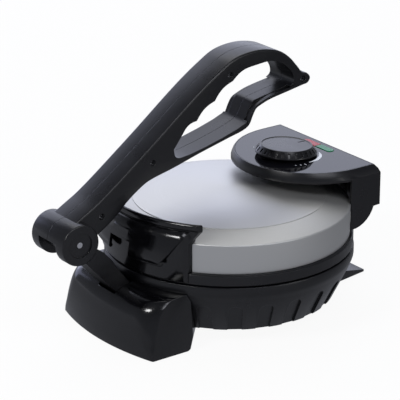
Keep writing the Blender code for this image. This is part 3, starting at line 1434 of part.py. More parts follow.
def drum_slot():
    """The wedge of the drum that stays open, so that the lever can swing over the link."""
    far = DRUM_RADIUS + OVERRUN
    centre = (DRUM_Y, DRUM_Z)
    wedge = arc(centre, far, DRUM_SLOT_START, DRUM_SLOT_END, DRUM_SLOT_STEPS)
    near = DRUM_CAVITY - OVERRUN
    wedge += arc(centre, near, DRUM_SLOT_END, DRUM_SLOT_START, DRUM_SLOT_STEPS)
    reach = LINK_HALF_WIDTH + 2 * CLEAR
    return side_slab("drum_slot", [wedge], -reach, reach)


def build_lever_half(name, side):
    """One moulded half of the lever, with half of the drum."""
    seam = LEVER_SEAM / 2
    body = side_slab(name, [lever_outline()], seam, LEVER_HALF_WIDTH)
    outer = LEVER_HALF_WIDTH - CLEAR
    bevel_where(body, LEVER_EDGE_ROUND, lambda a, b: a.x > outer and b.x > outer, 2)
    cut(body, side_slab("loop", [loop_outline()], -OVERRUN, LEVER_HALF_WIDTH + OVERRUN))
    join(body, drum_rod(DRUM_RADIUS, seam, DRUM_HALF_LENGTH))
    reach = LINK_HALF_WIDTH + 2 * CLEAR
    cut(body, drum_rod(DRUM_CAVITY, -reach, reach), drum_slot())
    cut(body, drum_rod(AXLE_RADIUS + CLEAR, -DRUM_HALF_LENGTH, DRUM_HALF_LENGTH + OVERRUN, SMALL_SIDE_COUNT))
    face = DRUM_HALF_LENGTH - DRUM_FACE_DEPTH
    ring = drum_rod(DRUM_FACE_RECESS, face, DRUM_HALF_LENGTH + OVERRUN)
    cut(body, ring)
    head = face - AXLE_HEAD - CLEAR
    cut(body, drum_rod(AXLE_HEAD_RADIUS + CLEAR, head, DRUM_HALF_LENGTH, SMALL_SIDE_COUNT))
    shank_end = LEVER_HALF_WIDTH - CLEAR if side > 0 else SCREW_REACH + CLEAR
    for y, z in LEVER_SCREWS_SHARES:
        place = drum_point(y, z)
        if side > 0:
            well = LEVER_HALF_WIDTH - SCREW_WELL_DEPTH
            far = LEVER_HALF_WIDTH + OVERRUN
            hole = rod("well", SCREW_HEAD_RADIUS + CLEAR, (well, *place), (far, *place))
            cut(body, hole)
        shank = rod("shank", SCREW_SHANK_RADIUS + CLEAR, (-OVERRUN, *place), (shank_end, *place), 10)
        cut(body, shank)
    if side < 0:
        mirror = mirrored(body, name)
        bpy.data.objects.remove(body, do_unlink=True)
        body = mirror
    return finish(body, name, satin_black, lever)


def build_lever_hardware():
    half = DRUM_HALF_LENGTH - DRUM_FACE_DEPTH
    axle = drum_rod(AXLE_RADIUS, -half + AXLE_HEAD, half - AXLE_HEAD, SMALL_SIDE_COUNT)
    for side in (-1, 1):
        start, end = side * (half - AXLE_HEAD - CLEAR / 2), side * (half - CLEAR)
        join(axle, drum_rod(AXLE_HEAD_RADIUS, min(start, end), max(start, end), SMALL_SIDE_COUNT))
    finish(axle, "lever_axle", bare_steel, lever)
    for index, (y, z) in enumerate(LEVER_SCREWS_SHARES, 1):
        place = drum_point(y, z)
        seat = LEVER_HALF_WIDTH - SCREW_WELL_DEPTH + CLEAR
        head = rod("screw", SCREW_HEAD_RADIUS, (seat, *place), (seat + SCREW_HEAD, *place), 12)
        shank = rod("screw_shank", SCREW_SHANK_RADIUS, (-SCREW_REACH, *place), (seat + CLEAR, *place), 10)
        join(head, shank)
        finish(head, "lever_screw_%d" % index, bare_steel, lever)


def build_link_arm():
    """The flat link between the pedestal's pocket and the lever's drum."""
    foot = Vector((LINK_PIVOT_Y, LINK_PIVOT_Z))
    head = Vector((DRUM_Y, DRUM_Z))
    along = (head - foot).normalized()
    behind = Vector((along.y, -along.x))
    tilt = math.atan2(along.y, along.x)
    outline = arc(foot, LINK_FOOT_RADIUS, tilt + math.pi / 2, tilt + 3 * math.pi / 2, 8)
    for up, out in LINK_BACK_SHARES:
        outline.append(tuple(foot + (along * up + behind * out) * LINK_LENGTH))
    outline += [tuple(head + behind * LINK_NECK_HALF), tuple(head - behind * LINK_NECK_HALF)]
    width = LINK_HALF_WIDTH
    arm = side_slab("link_arm", [outline], -width, width)
    join(arm, drum_rod(LINK_HEAD_RADIUS, -width, width))
    reach = LINK_HALF_WIDTH + OVERRUN
    cut(arm, drum_rod(AXLE_RADIUS + CLEAR, -reach, reach, SMALL_SIDE_COUNT))
    cut(arm, rod("foot_bore", LINK_PIN_RADIUS + CLEAR, (-reach, *foot), (reach, *foot)))
    return finish(arm, "link_arm", satin_black, link)


def build_link_pin():
    reach = LINK_HALF_WIDTH + CLEAR + CHEEK_THICKNESS
    centre = (LINK_PIVOT_Y, LINK_PIVOT_Z)
    pin = rod("link_pin", LINK_PIN_RADIUS, (-reach, *centre), (reach, *centre))
    return finish(pin, "link_pin", bare_steel, base)


clear_scene()
pieces = new_collection("roti_maker")
cutters = new_collection("cutters", hidden=True)

satin_black = material("satin_black_plastic", (0.012, 0.012, 0.016), 0.35)
gloss_black = material("gloss_black_plastic", (0.008, 0.008, 0.011), 0.12)
panel_grey = material("grey_panel", (0.10, 0.105, 0.14), 0.35)
brushed_steel = material("brushed_steel", (0.55, 0.54, 0.53), 0.32, 1.0)
bare_steel = material("bare_steel", (0.6, 0.6, 0.6), 0.3, 1.0)
dark_steel = material("dark_steel", (0.2, 0.2, 0.21), 0.45, 1.0)
coated_aluminium = material("coated_aluminium", (0.03, 0.03, 0.032), 0.4)
rubber = material("rubber", (0.01, 0.01, 0.01), 0.8)
ceramic_white = material("ceramic_white", (0.75, 0.74, 0.7), 0.5)
lens_red = material("lens_red", (0.4, 0.02, 0.05), 0.15)
lens_green = material("lens_green", (0.02, 0.27, 0.15), 0.15)
lamp_glass = material("lamp_glass", (0.8, 0.5, 0.3), 0.1)

base = pivot("base", (0, 0, 0))
lid = pivot("lid_hinge", (0, HINGE_Y, HINGE_Z), base)
link = pivot("link_pivot", (0, LINK_PIVOT_Y, LINK_PIVOT_Z), base)
lever = pivot("lever_pivot", (0, DRUM_Y, DRUM_Z), link)
knob_turn = pivot("knob_turn", (0, KNOB_Y, DECK_TOP_Z), lid)

build_base_shell()
build_base_cover()
build_front_pedestal()
build_pedestal_floor()
build_rear_foot()
build_pads()
build_cord_gland()
build_terminal_block()
build_lower_plates()
build_upper_plates()
build_lid_shell()
build_lid_ring()
build_lid_grip()
build_control_housing()
build_hinge_pins()
build_control_panel()
build_indicators()
build_knob(build_thermostat())
build_link_arm()
build_link_pin()
build_lever_half("lever_right", 1)
build_lever_half("lever_left", -1)
build_lever_hardware()
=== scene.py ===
import json
import math

import bpy
from mathutils import Matrix, Vector


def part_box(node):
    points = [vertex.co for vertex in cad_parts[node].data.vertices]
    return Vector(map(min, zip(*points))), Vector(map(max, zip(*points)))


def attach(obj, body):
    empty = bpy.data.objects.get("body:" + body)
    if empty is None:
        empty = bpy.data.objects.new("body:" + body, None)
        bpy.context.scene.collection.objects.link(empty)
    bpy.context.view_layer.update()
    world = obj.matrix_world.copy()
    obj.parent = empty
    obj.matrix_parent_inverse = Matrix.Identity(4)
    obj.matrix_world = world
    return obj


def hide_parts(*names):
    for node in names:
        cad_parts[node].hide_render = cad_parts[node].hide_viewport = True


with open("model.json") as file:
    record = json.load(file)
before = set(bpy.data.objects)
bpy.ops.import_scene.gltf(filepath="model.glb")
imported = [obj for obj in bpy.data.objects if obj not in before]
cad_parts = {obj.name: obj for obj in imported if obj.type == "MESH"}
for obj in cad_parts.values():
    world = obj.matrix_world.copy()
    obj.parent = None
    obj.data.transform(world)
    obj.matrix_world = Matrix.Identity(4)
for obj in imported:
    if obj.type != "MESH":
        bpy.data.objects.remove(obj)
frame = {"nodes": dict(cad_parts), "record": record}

MM = 0.001
DEG = math.pi / 180
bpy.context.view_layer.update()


def middle(node):
    low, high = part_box(node)
    return (low + high) / 2


# Places and sizes read from the frame
LID_LOW, LID_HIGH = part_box("lid_shell")
LID_Y = middle("lid_shell").y
LID_RADIUS = (LID_HIGH.x - LID_LOW.x) / 2
LID_TOP_Z = LID_HIGH.z
SKIRT_LOW_Z = LID_LOW.z

# Camera, as fitted to the rims of the lid, the ring and the knob
CAMERA_AZIMUTH = 53.829 * DEG
CAMERA_ELEVATION = 20.883 * DEG
CAMERA_DISTANCE = 1.967605
CAMERA_SIDE = -26.878 * MM
CAMERA_AIM_Z = 100.3 * MM
CAMERA_FOCAL_PIXELS = 2130.861
IMAGE_PIXELS = 400
SENSOR_WIDTH = 36
CAMERA_CLIP_END = 20

# Lid sheet
CREASE_RADIUS = 89.8 * MM
CREASE_Z = 107.1 * MM
CREASE_STEP = 0.6 * MM
DOME_STEPS = 24
LID_EDGE_Z = 100.3 * MM
LID_SHEET = 0.9 * MM
LID_EDGE_BEND = 1.6 * MM
LID_BEND_ANGLES = (74, 55, 37, 18, 0)

# Bowl: the part's outline drawn finer, with flutes a little deeper and further apart
BASE_TOP_Z = 61.1 * MM
BAND_RADIUS = 116 * MM
BAND_EDGE = 1.3 * MM
BAND_TURN_IN = 0.4 * MM
BAND_TURN_DOWN = 0.35 * MM
BAND_Z = 53.1 * MM
# The tuck under the band: millimetres outwards from its radius and upwards from its low edge
BOWL_TUCK = ((0, 0.4), (-0.15, -0.6), (-0.8, -2.6), (-1.7, -4.6), (-2.6, -6.9))
BOWL_TOP_RADIUS = 112.4 * MM
BOWL_TOP_Z = 43.5 * MM
BOWL_BOTTOM_RADIUS = 97.5 * MM
BOWL_BOTTOM_Z = 12.6 * MM
BOWL_FOOT_ROUND = 1.2 * MM
BOWL_FOOT_TURN = 0.3 * MM
BOWL_WALL = 2.6 * MM
SHELF_RADIUS = 112.3 * MM
SHELF_WIDTH = 5.5 * MM
SHELF_Z = 56.5 * MM
COVER_TOP_Z = 15.4 * MM
COVER_LEDGE = 6 * MM
FIRST_FLUTE_ANGLE = 41.2 * DEG
FLUTE_PITCH = 15 * DEG
FLUTE_COUNT = 9
FLUTE_WIDTH = 13 * MM
FLUTE_TOP_Z = 41 * MM
FLUTE_DEPTH = 2 * MM
FLUTE_ARCH_STEPS = 14
POST_HALF_SPAN = 27 * MM
POST_BACK_Y = LID_Y + 104 * MM
# How far a cutting piece stands out of what it cuts
OVERRUN = 4 * MM

# Grip on the lid's front edge: the bead on top and the lip of its sloping face
BEAD_GAP = 0.3 * MM
BEAD_OUT = 4.8 * MM
BEAD_RISE = 18.9 * MM
BEAD_WAIST = 12.6 * MM
BEAD_FOOT = 66.5 * MM
BEAD_HALF = 74 * MM
BEAD_END_ROUND = 1.4 * MM
BEAD_TOP_STEPS = 16
BEAD_FOOT_STEPS = 6
AWNING_STAND = 3.3 * MM
LIP_RADIUS = LID_RADIUS + 12.4 * MM
LIP_Z = LID_EDGE_Z - 20.6 * MM
LIP_ANGLE = 21.8 * DEG
LIP_ROUND = 1.9 * MM
LIP_STEPS = 20
NOTCH_HALF = 14.5 * MM

# Lever, about its drum's axis
DRUM_Y = -153.95 * MM
DRUM_Z = 105.8 * MM
DRUM_RADIUS = 18.8 * MM
DRUM_HALF_LENGTH = 25.5 * MM
DRUM_CAVITY = 12.8 * MM
DRUM_RECESS = 11.5 * MM
DRUM_RECESS_DEPTH = 1.4 * MM
DRUM_SLOT_START = -12 * DEG
DRUM_SLOT_END = -186 * DEG
LINK_REACH = 13.6 * MM
AXLE_HOLE = 3.1 * MM
LEVER_LENGTH = 260 * MM
LEVER_HALF_WIDTH = 18 * MM
LEVER_SEAM = 0.35 * MM
LEVER_EDGE_ROUND = 1.8 * MM
DRUM_EDGE_ROUND = 1.2 * MM
SCREW_WELL = 2.9 * MM
SCREW_WELL_DEPTH = 6 * MM
DRUM_STEPS = 96
DRUM_SLOT_STEPS = 48
HOLE_STEPS = 32
# Outline points, backwards and upwards from the drum's axis, in shares of the lever's length
LEVER_TOP_SHARES = (
    (-0.0385, 0.05), (0.0365, 0.0923), (0.0977, 0.1269), (0.3035, 0.2754), (0.5123, 0.4338),
    (0.6058, 0.495), (0.6615, 0.5246), (0.7258, 0.5368), (0.7912, 0.535), (0.8573, 0.5177),
    (0.9023, 0.4877), (0.9388, 0.4481), (0.9619, 0.4219), (0.9846, 0.4135), (0.9977, 0.3962),
    (0.9877, 0.3777),
)
LEVER_UNDERSIDE_SHARES = (
    (0.9631, 0.3727), (0.9046, 0.3623), (0.8158, 0.3465), (0.7804, 0.335), (0.7588, 0.3246),
    (0.7458, 0.305), (0.7285, 0.2715), (0.7065, 0.2577), (0.6415, 0.2415), (0.5123, 0.21),
    (0.4065, 0.1812), (0.3104, 0.1585), (0.2812, 0.1469), (0.2192, 0.1065), (0.1615, 0.0562),
    (0.1104, 0.0215), (0.0577, -0.0077),
)
LOOP_BAR_SIDE_SHARES = (
    (0.4023, 0.2481), (0.4096, 0.2212), (0.4327, 0.2131), (0.7081, 0.2815), (0.7254, 0.2977),
    (0.7381, 0.3242), (0.7554, 0.3477), (0.7877, 0.3565), (0.9035, 0.38),
)
LOOP_TIP_SHARES = (
    (0.9215, 0.3946), (0.9177, 0.4231), (0.8846, 0.4596), (0.8462, 0.4808), (0.8138, 0.4892),
)
GROOVE_CUSPS_SHARES = (
    (0.7392, 0.4846), (0.6531, 0.4465), (0.5762, 0.3892), (0.4996, 0.3323), (0.4408, 0.2973),
)
LEVER_SCREWS_SHARES = (
    (0.1046, 0.0712), (0.315, 0.2188), (0.6442, 0.4681), (0.9623, 0.3969),
)
GROOVE_RISE = 2.6 * MM
GROOVE_STEPS = 12
# The lower bar's outer side is sunk behind a thin rim from the jog to the tip
RIM_STEP_SHARE = 0.0125
SUNK_START_SHARE = 0.715
SUNK_END_SHARE = 0.945
SUNK_FACE_X = 12.5 * MM

# Knob, on its leaning axis. Its edges and hollows are multiples of KNOB_EDGE
KNOB_AXIS_Y = 91.75 * MM
DECK_TOP_Z = 131.8 * MM
KNOB_LEAN = 3 * DEG
KNOB_LOW = 1.9 * MM
KNOB_HIGH = 9.7 * MM
KNOB_TOP_RADIUS = 24.8 * MM
KNOB_RADIUS = 29.2 * MM
KNOB_EDGE = 0.6 * MM
KNOB_STEPS = 168
KNOB_SLOT_COUNT = 28
KNOB_SLOT_SHARE = 0.86
KNOB_SLOT_WIDTH = 2.3 * MM
KNOB_SLOT_DEPTH = 1.7 * MM
KNOB_FLANGE = 2.6 * MM
POINTER_LENGTH = 8 * MM
POINTER_WIDTH = 1.4 * MM

# Print on the panel, about the knob's axis
PRINT_THICKNESS = 0.05 * MM
SCALE_START = 5 * DEG
SCALE_END = 62 * DEG
SCALE_INNER = 31 * MM
SCALE_OUTER = 34.4 * MM
SCALE_STEPS = 24
# The scale's width swells along part of a half wave, raised to a power that keeps it full
SCALE_WAVE_START = 0.06
SCALE_WAVE_SPAN = 0.88
SCALE_WAVE_POWER = 0.8
DOT_RADIUS = 0.55 * MM
DOT_STEPS = 16
DOT_ANGLES = (150, 163, 176, 189, 202)
# Each tick: its angle, and its outer end in millimetres from the scale's inner line
TICKS = ((-6, 5), (-14, 4), (-22, 3))
TICK_START = 1 * MM
TICK_HALF_WIDTH = 0.35 * MM

# Front pedestal: the part's sections drawn finer, with rounder corners and sides cut to a crease
PEDESTAL_TOP_HALF = 66 * MM
PEDESTAL_FOOT_HALF = 71.5 * MM
PEDESTAL_TOP_Y = LID_Y - 118 * MM
PEDESTAL_FOOT_Y = LID_Y - 147.6 * MM
PEDESTAL_SAG = 20 * MM
PEDESTAL_CORNER = 26 * MM
PEDESTAL_REAR_Y = LID_Y - 99 * MM
PEDESTAL_TUCK_Y = LID_Y - 75 * MM
PEDESTAL_LIFT = 0.5 * MM
PEDESTAL_REAR_INSET = 0.5 * MM
PEDESTAL_TOP_Z = 52.8 * MM
PEDESTAL_WALL = 2.6 * MM
PEDESTAL_TUCK_SHARE = 0.7
PEDESTAL_SIDE_CUT = 3 * MM
PEDESTAL_SIDE_STEP = 4 * MM
PEDESTAL_EDGE_ROUND = 0.9 * MM
PEDESTAL_CORNER_STEPS = 14
PEDESTAL_FRONT_STEPS = 32
# Up to this share of its height the pedestal is hollow
PEDESTAL_HOLLOW_SHARE = 0.21
# The bowl stands this far off the room that is cut for it
BOWL_ROOM_GAP = 0.3 * MM
# Each row: height from foot to top, then forward reach, sag of the front and corner rounding
PEDESTAL_SECTION_SHARES = (
    (0.00, 1.00, 0.58, 0.30), (0.10, 1.00, 0.56, 0.40), (0.25, 0.98, 0.50, 0.64),
    (0.50, 0.93, 0.43, 0.86), (0.70, 0.84, 0.38, 0.95), (0.82, 0.73, 0.35, 1.00),
    (0.91, 0.57, 0.40, 1.00), (0.97, 0.36, 0.60, 0.73), (1.00, 0.00, 1.00, 0.20),
)
POCKET_HALF = 13.3 * MM
POCKET_FRONT_Y = LID_Y - 137.3 * MM
POCKET_LOW_Z = 40 * MM

# Steps round a whole turn, for plain shapes and for the ones that show most
ROUND_STEPS = 144
FINE_STEPS = 192

# Edges that turn less than these angles shade as one round surface
SMOOTH_ANGLE = 32 * DEG
SHELL_SMOOTH_ANGLE = 30 * DEG
KNOB_SMOOTH_ANGLE = 25 * DEG
PEDESTAL_SMOOTH_ANGLE = 24 * DEG
LID_SMOOTH_ANGLE = 18 * DEG
# Edges that turn more than these angles are the ones that rounding takes
ROUNDING_ANGLE = 40 * DEG
GRIP_ROUNDING_ANGLE = 50 * DEG
PEDESTAL_ROUNDING_ANGLE = 16 * DEG

# Closer points are merged, and faces that turn less than this become one
WELD_DISTANCE = 0.01 * MM
WELD_ANGLE = 0.4 * DEG

# Softboxes: name, azimuth, elevation, distance, width, height, power and colour
SOFTBOXES = (
    ("key_softbox", 5, 42, 1.6, 0.45, 0.3, 9, "#FFFFFF"),
    ("rear_softbox", -117, 25, 2.0, 2.2, 1.6, 16, "#D8DCF0"),
    ("left_softbox", -84, 11, 2.0, 1.1, 0.9, 5, "#C8CEF0"),
    ("right_softbox", 80, 48, 1.8, 0.9, 0.6, 7, "#F4F6FF"),
    ("low_softbox", 112, 14, 1.8, 0.6, 0.4, 3, "#FFFFFF"),
    ("overhead_softbox", -126, 62, 1.8, 1.4, 1.2, 7, "#FFFFFF"),
)
SOFTBOX_AIM_Z = 0.1
FLOOR_SIZE = 8
FLOOR_DROP = 0.2 * MM
# In the camera's view this share of the floor is plain white, and the rest takes light and shadow
FLOOR_WHITE_SHARE = 0.93
SURROUND_LIGHT = 0.5


def select_only(*objects):
    if bpy.context.object and bpy.context.object.mode != "OBJECT":
        bpy.ops.object.mode_set(mode="OBJECT")
    bpy.ops.object.select_all(action="DESELECT")
    for obj in objects:
        obj.select_set(True)
    bpy.context.view_layer.objects.active = objects[0]


def new_piece(name, mesh):
    piece = bpy.data.objects.new(name, mesh)
    bpy.context.scene.collection.objects.link(piece)
    return piece


def apply_modifiers(piece):
    select_only(piece)
    for modifier in list(piece.modifiers):
        bpy.ops.object.modifier_apply(modifier=modifier.name)


def smooth(piece, angle=SMOOTH_ANGLE):
    select_only(piece)
    bpy.ops.object.shade_smooth_by_angle(angle=angle)


def face_outwards(piece):
    """Turns the faces of a closed mesh outwards."""
    select_only(piece)
    bpy.ops.object.mode_set(mode="EDIT")
    bpy.ops.mesh.select_all(action="SELECT")
    bpy.ops.mesh.normals_make_consistent(inside=False)
    bpy.ops.object.mode_set(mode="OBJECT")


def welded_copy(node, name):
    """A CAD node's own shape with its loose triangles joined, so that it shades round."""
    piece = new_piece(name, frame["nodes"][node].data.copy())
    select_only(piece)
    bpy.ops.object.mode_set(mode="EDIT")
    bpy.ops.mesh.select_all(action="SELECT")
    bpy.ops.mesh.remove_doubles(threshold=WELD_DISTANCE)
    bpy.ops.mesh.dissolve_limited(angle_limit=WELD_ANGLE)
    bpy.ops.object.mode_set(mode="OBJECT")
    piece.data.materials.clear()
    return piece


def spun(name, profile, steps=ROUND_STEPS, centre=(0, 0)):
    """A closed profile of (radius, height) points turned about an upright axis."""
    count = len(profile)
    on_axis = profile[0][0] == 0 and profile[-1][0] == 0
    edges = [(i, (i + 1) % count) for i in range(count - (1 if on_axis else 0))]
    mesh = bpy.data.meshes.new(name)
    mesh.from_pydata([(centre[0] + r, centre[1], z) for r, z in profile], edges, [])
    piece = new_piece(name, mesh)
    select_only(piece)
    bpy.ops.object.mode_set(mode="EDIT")
    bpy.ops.mesh.select_all(action="SELECT")
    bpy.ops.mesh.spin(
        steps=steps, angle=2 * math.pi, center=(centre[0], centre[1], 0), axis=(0, 0, 1)
    )
    bpy.ops.mesh.select_all(action="SELECT")
    bpy.ops.mesh.remove_doubles(threshold=WELD_DISTANCE)
    bpy.ops.mesh.normals_make_consistent(inside=False)
    bpy.ops.object.mode_set(mode="OBJECT")
    return piece


def flat_piece(name, outline, place, way):
    """A closed flat outline made solid: `place` puts its points, `way` is its depth."""
    count = len(outline)
    edges = [(i, (i + 1) % count) for i in range(count)]
    mesh = bpy.data.meshes.new(name)
    mesh.from_pydata([place(a, b) for a, b in outline], edges, [])
    piece = new_piece(name, mesh)
    select_only(piece)
    bpy.ops.object.mode_set(mode="EDIT")
    bpy.ops.mesh.select_all(action="SELECT")
    bpy.ops.mesh.edge_face_add()
    bpy.ops.mesh.extrude_region_move(TRANSFORM_OT_translate={"value": way})
    bpy.ops.mesh.select_all(action="SELECT")
    bpy.ops.mesh.normals_make_consistent(inside=False)
    bpy.ops.object.mode_set(mode="OBJECT")
    return piece


def side_piece(name, outline, x_low, x_high):
    """An outline of (y, z) points made solid between two places along x."""
    return flat_piece(name, outline, lambda y, z: (x_low, y, z), (x_high - x_low, 0, 0))


def level_piece(name, outline, z_low, z_high):
    """An outline of (x, y) points made solid between two heights."""
    return flat_piece(name, outline, lambda x, y: (x, y, z_low), (0, 0, z_high - z_low))


def arc(centre, radius, start, end, steps):
    """Points round a centre, from one angle to another."""
    x, y = centre
    turns = [start + (end - start) * k / steps for k in range(steps + 1)]
    return [(x + radius * math.cos(t), y + radius * math.sin(t)) for t in turns]


def circle(centre, radius, steps):
    return arc(centre, radius, 0, 2 * math.pi, steps)[:-1]


def flowing(points, steps=5):
    """A smooth line through all the points, each one once."""
    knots = [Vector(p) for p in points]
    ends = [2 * knots[0] - knots[1]] + knots + [2 * knots[-1] - knots[-2]]
    line = []
    for before, start, end, after in zip(ends, ends[1:], ends[2:], ends[3:]):
        times = [0]
        for a, b in ((before, start), (start, end), (end, after)):
            times.append(times[-1] + math.sqrt((b - a).length))
        for k in range(steps):
            t = times[1] + (times[2] - times[1]) * k / steps
            a = before.lerp(start, (t - times[0]) / (times[1] - times[0]))
            b = start.lerp(end, (t - times[1]) / (times[2] - times[1]))
            c = end.lerp(after, (t - times[2]) / (times[3] - times[2]))
            d = a.lerp(b, (t - times[0]) / (times[2] - times[0]))
            e = b.lerp(c, (t - times[1]) / (times[3] - times[1]))
            line.append(tuple(d.lerp(e, (t - times[1]) / (times[2] - times[1]))))
    line.append(tuple(knots[-1]))
    return line


def combine(piece, others, operation):
    """Combines one piece with each of the others in turn, and removes those."""
    for other in others:
        modifier = piece.modifiers.new(operation.lower(), "BOOLEAN")
        modifier.operation = operation
        modifier.solver = "EXACT"
        modifier.object = other
        apply_modifiers(piece)
        bpy.data.objects.remove(other, do_unlink=True)
    return piece


def cut(piece, *others):
    return combine(piece, others, "DIFFERENCE")


def join(piece, *others):
    return combine(piece, others, "UNION")


def keep_inside(piece, *others):
    return combine(piece, others, "INTERSECT")


def round_edges(piece, width, segments=3, angle=ROUNDING_ANGLE):
    modifier = piece.modifiers.new("rounding", "BEVEL")
    modifier.width = width
    modifier.segments = segments
    modifier.limit_method = "ANGLE"
    modifier.angle_limit = angle
    apply_modifiers(piece)
    return piece


def move_points(piece, matrix):
    piece.data.transform(matrix)
    return piece


def linear(code):
    """An sRGB hex colour as linear red, green and blue."""
    parts = [int(code[i:i + 2], 16) / 255 for i in (1, 3, 5)]
    return [c / 12.92 if c <= 0.04045 else ((c + 0.055) / 1.055) ** 2.4 for c in parts]


def add_node(tree, kind, settings=None, links=None, values=None):
    """Adds a node, sets its properties and socket values, and links its inputs."""
    node = tree.nodes.new(kind)
    for key, value in (settings or {}).items():
        setattr(node, key, value)
    for key, value in (values or {}).items():
        node.inputs[key].default_value = value
    for key, socket in (links or {}).items():
        tree.links.new(socket, node.inputs[key])
    return node


def new_material(name, colour, **values):
    """A Principled material with its constant colour and settings on the shader itself."""
    made = bpy.data.materials.new(name)
    made.use_nodes = True
    shader = made.node_tree.nodes["Principled BSDF"]
    shader.inputs["Base Color"].default_value = (*linear(colour), 1)
    for key, value in values.items():
        shader.inputs[key.replace("_", " ").title().replace("Ior", "IOR")].default_value = value
    return made, made.node_tree, shader


def object_coordinates(tree):
    return add_node(tree, "ShaderNodeTexCoord").outputs["Object"]


def grain(tree, shader, size, height, soften=0.5 * MM, detail=3):
    """Moulded or cast surface texture of one grain size, on edges that are slightly rounded."""
    edge = add_node(tree, "ShaderNodeBevel", {"samples": 6}, values={"Radius": soften})
    noise = add_node(
        tree, "ShaderNodeTexNoise", links={"Vector": object_coordinates(tree)},
        values={"Scale": 1 / size, "Detail": detail},
    )
    bump = add_node(
        tree, "ShaderNodeBump",
        links={"Height": noise.outputs["Fac"], "Normal": edge.outputs["Normal"]},
        values={"Distance": height, "Strength": 1.0},
    )
    tree.links.new(bump.outputs["Normal"], shader.inputs["Normal"])
    return noise


def vary_roughness(tree, shader, size, low, high):
    """Roughness that wanders over the surface, as handling and moulding leave it."""
    noise = add_node(
        tree, "ShaderNodeTexNoise", links={"Vector": object_coordinates(tree)},
        values={"Scale": 1 / size, "Detail": 4},
    )
    spread = add_node(
        tree, "ShaderNodeMapRange", links={"Value": noise.outputs["Fac"]},
        values={"From Min": 0.3, "From Max": 0.7, "To Min": low, "To Max": high},
    )
    tree.links.new(spread.outputs["Result"], shader.inputs["Roughness"])


def satin_abs():
    """Black ABS moulded in a lightly spark-eroded tool: even, soft sheen with a fine grain."""
    made, tree, shader = new_material("satin_black_abs", "#0C0C0F", ior=1.5)
    grain(tree, shader, size=0.45 * MM, height=0.006 * MM)
    vary_roughness(tree, shader, size=35 * MM, low=0.26, high=0.33)
    return made


def gloss_abs():
    """Black ABS moulded in a polished tool: mirror-like, with the slight waviness of its walls."""
    made, tree, shader = new_material("gloss_black_abs", "#060608", ior=1.53)
    grain(tree, shader, size=26 * MM, height=0.05 * MM, soften=0.7 * MM, detail=1)
    vary_roughness(tree, shader, size=30 * MM, low=0.13, high=0.19)
    return made


def panel_plastic():
    """Near-black acrylic sheet, screen-printed from above: flat, with a mirror gloss."""
    made, tree, shader = new_material("panel_acrylic", "#101014", ior=1.49)
    grain(tree, shader, size=30 * MM, height=0.01 * MM, soften=0.3 * MM, detail=1)
    vary_roughness(tree, shader, size=25 * MM, low=0.05, high=0.08)
    return made


def brushed_stainless():
    """Stainless sheet spun and brushed round its centre: fine rings that stretch the highlights."""
    made, tree, shader = new_material(
        "brushed_stainless", "#D0D0CE", metallic=1.0, anisotropic=0.3,
    )
    tangent = add_node(tree, "ShaderNodeTangent", {"direction_type": "RADIAL", "axis": "Z"})
    tree.links.new(tangent.outputs["Tangent"], shader.inputs["Tangent"])
    place = add_node(
        tree, "ShaderNodeMapping", links={"Vector": object_coordinates(tree)},
        values={"Location": (0, -LID_Y, 0)},
    )
    parts = add_node(tree, "ShaderNodeSeparateXYZ", links={"Vector": place.outputs["Vector"]})
    flat = add_node(
        tree, "ShaderNodeCombineXYZ", links={"X": parts.outputs["X"], "Y": parts.outputs["Y"]}
    )
    radius = add_node(
        tree, "ShaderNodeVectorMath", {"operation": "LENGTH"}, {0: flat.outputs["Vector"]}
    )
    ring = add_node(
        tree, "ShaderNodeCombineXYZ", links={"X": radius.outputs["Value"], "Y": parts.outputs["Z"]}
    )
    # Real brush lines are about 0.1 mm apart; they are drawn at 0.5 mm so that they show at all
    lines = add_node(
        tree, "ShaderNodeTexNoise", links={"Vector": ring.outputs["Vector"]},
        values={"Scale": 1 / (0.5 * MM), "Detail": 2, "Roughness": 0.6},
    )
    spread = add_node(
        tree, "ShaderNodeMapRange", links={"Value": lines.outputs["Fac"]},
        values={"From Min": 0.3, "From Max": 0.7, "To Min": 0.46, "To Max": 0.54},
    )
    tree.links.new(spread.outputs["Result"], shader.inputs["Roughness"])
    bump = add_node(
        tree, "ShaderNodeBump", links={"Height": lines.outputs["Fac"]},
        values={"Distance": 0.004 * MM, "Strength": 1.0},
    )
    tree.links.new(bump.outputs["Normal"], shader.inputs["Normal"])
    return made


def bright_steel():
    """Turned and zinc-plated steel: bright and a little streaky."""
    made, tree, shader = new_material("bright_plated_steel", "#C9C9CC", metallic=1.0)
    grain(tree, shader, size=0.3 * MM, height=0.003 * MM, soften=0.2 * MM)
    vary_roughness(tree, shader, size=6 * MM, low=0.18, high=0.3)
    return made


def dark_steel():
    """Heat-darkened plated steel, with clouding from the oven."""
    made, tree, shader = new_material("dark_plated_steel", "#5A5A60", metallic=1.0)
    grain(tree, shader, size=0.6 * MM, height=0.004 * MM)
    vary_roughness(tree, shader, size=12 * MM, low=0.38, high=0.55)
    return made


def nonstick_coating():
    """Cast aluminium under a sprayed non-stick coat: dark, satin, with a fine orange peel."""
    made, tree, shader = new_material("nonstick_coated_aluminium", "#1E1E20", ior=1.4)
    grain(tree, shader, size=0.8 * MM, height=0.01 * MM)
    vary_roughness(tree, shader, size=8 * MM, low=0.3, high=0.42)
    return made


def moulded_rubber():
    """Black moulded rubber: matt, slightly dusty."""
    made, tree, shader = new_material("moulded_rubber", "#161616", ior=1.5)
    grain(tree, shader, size=0.5 * MM, height=0.02 * MM)
    vary_roughness(tree, shader, size=5 * MM, low=0.7, high=0.85)
    return made


def steatite():
    """Unglazed steatite, pressed and fired: off-white and chalky."""
    made, tree, shader = new_material("steatite_ceramic", "#E2DED2", ior=1.5)
    grain(tree, shader, size=0.4 * MM, height=0.02 * MM)
    vary_roughness(tree, shader, size=4 * MM, low=0.7, high=0.85)
    return made


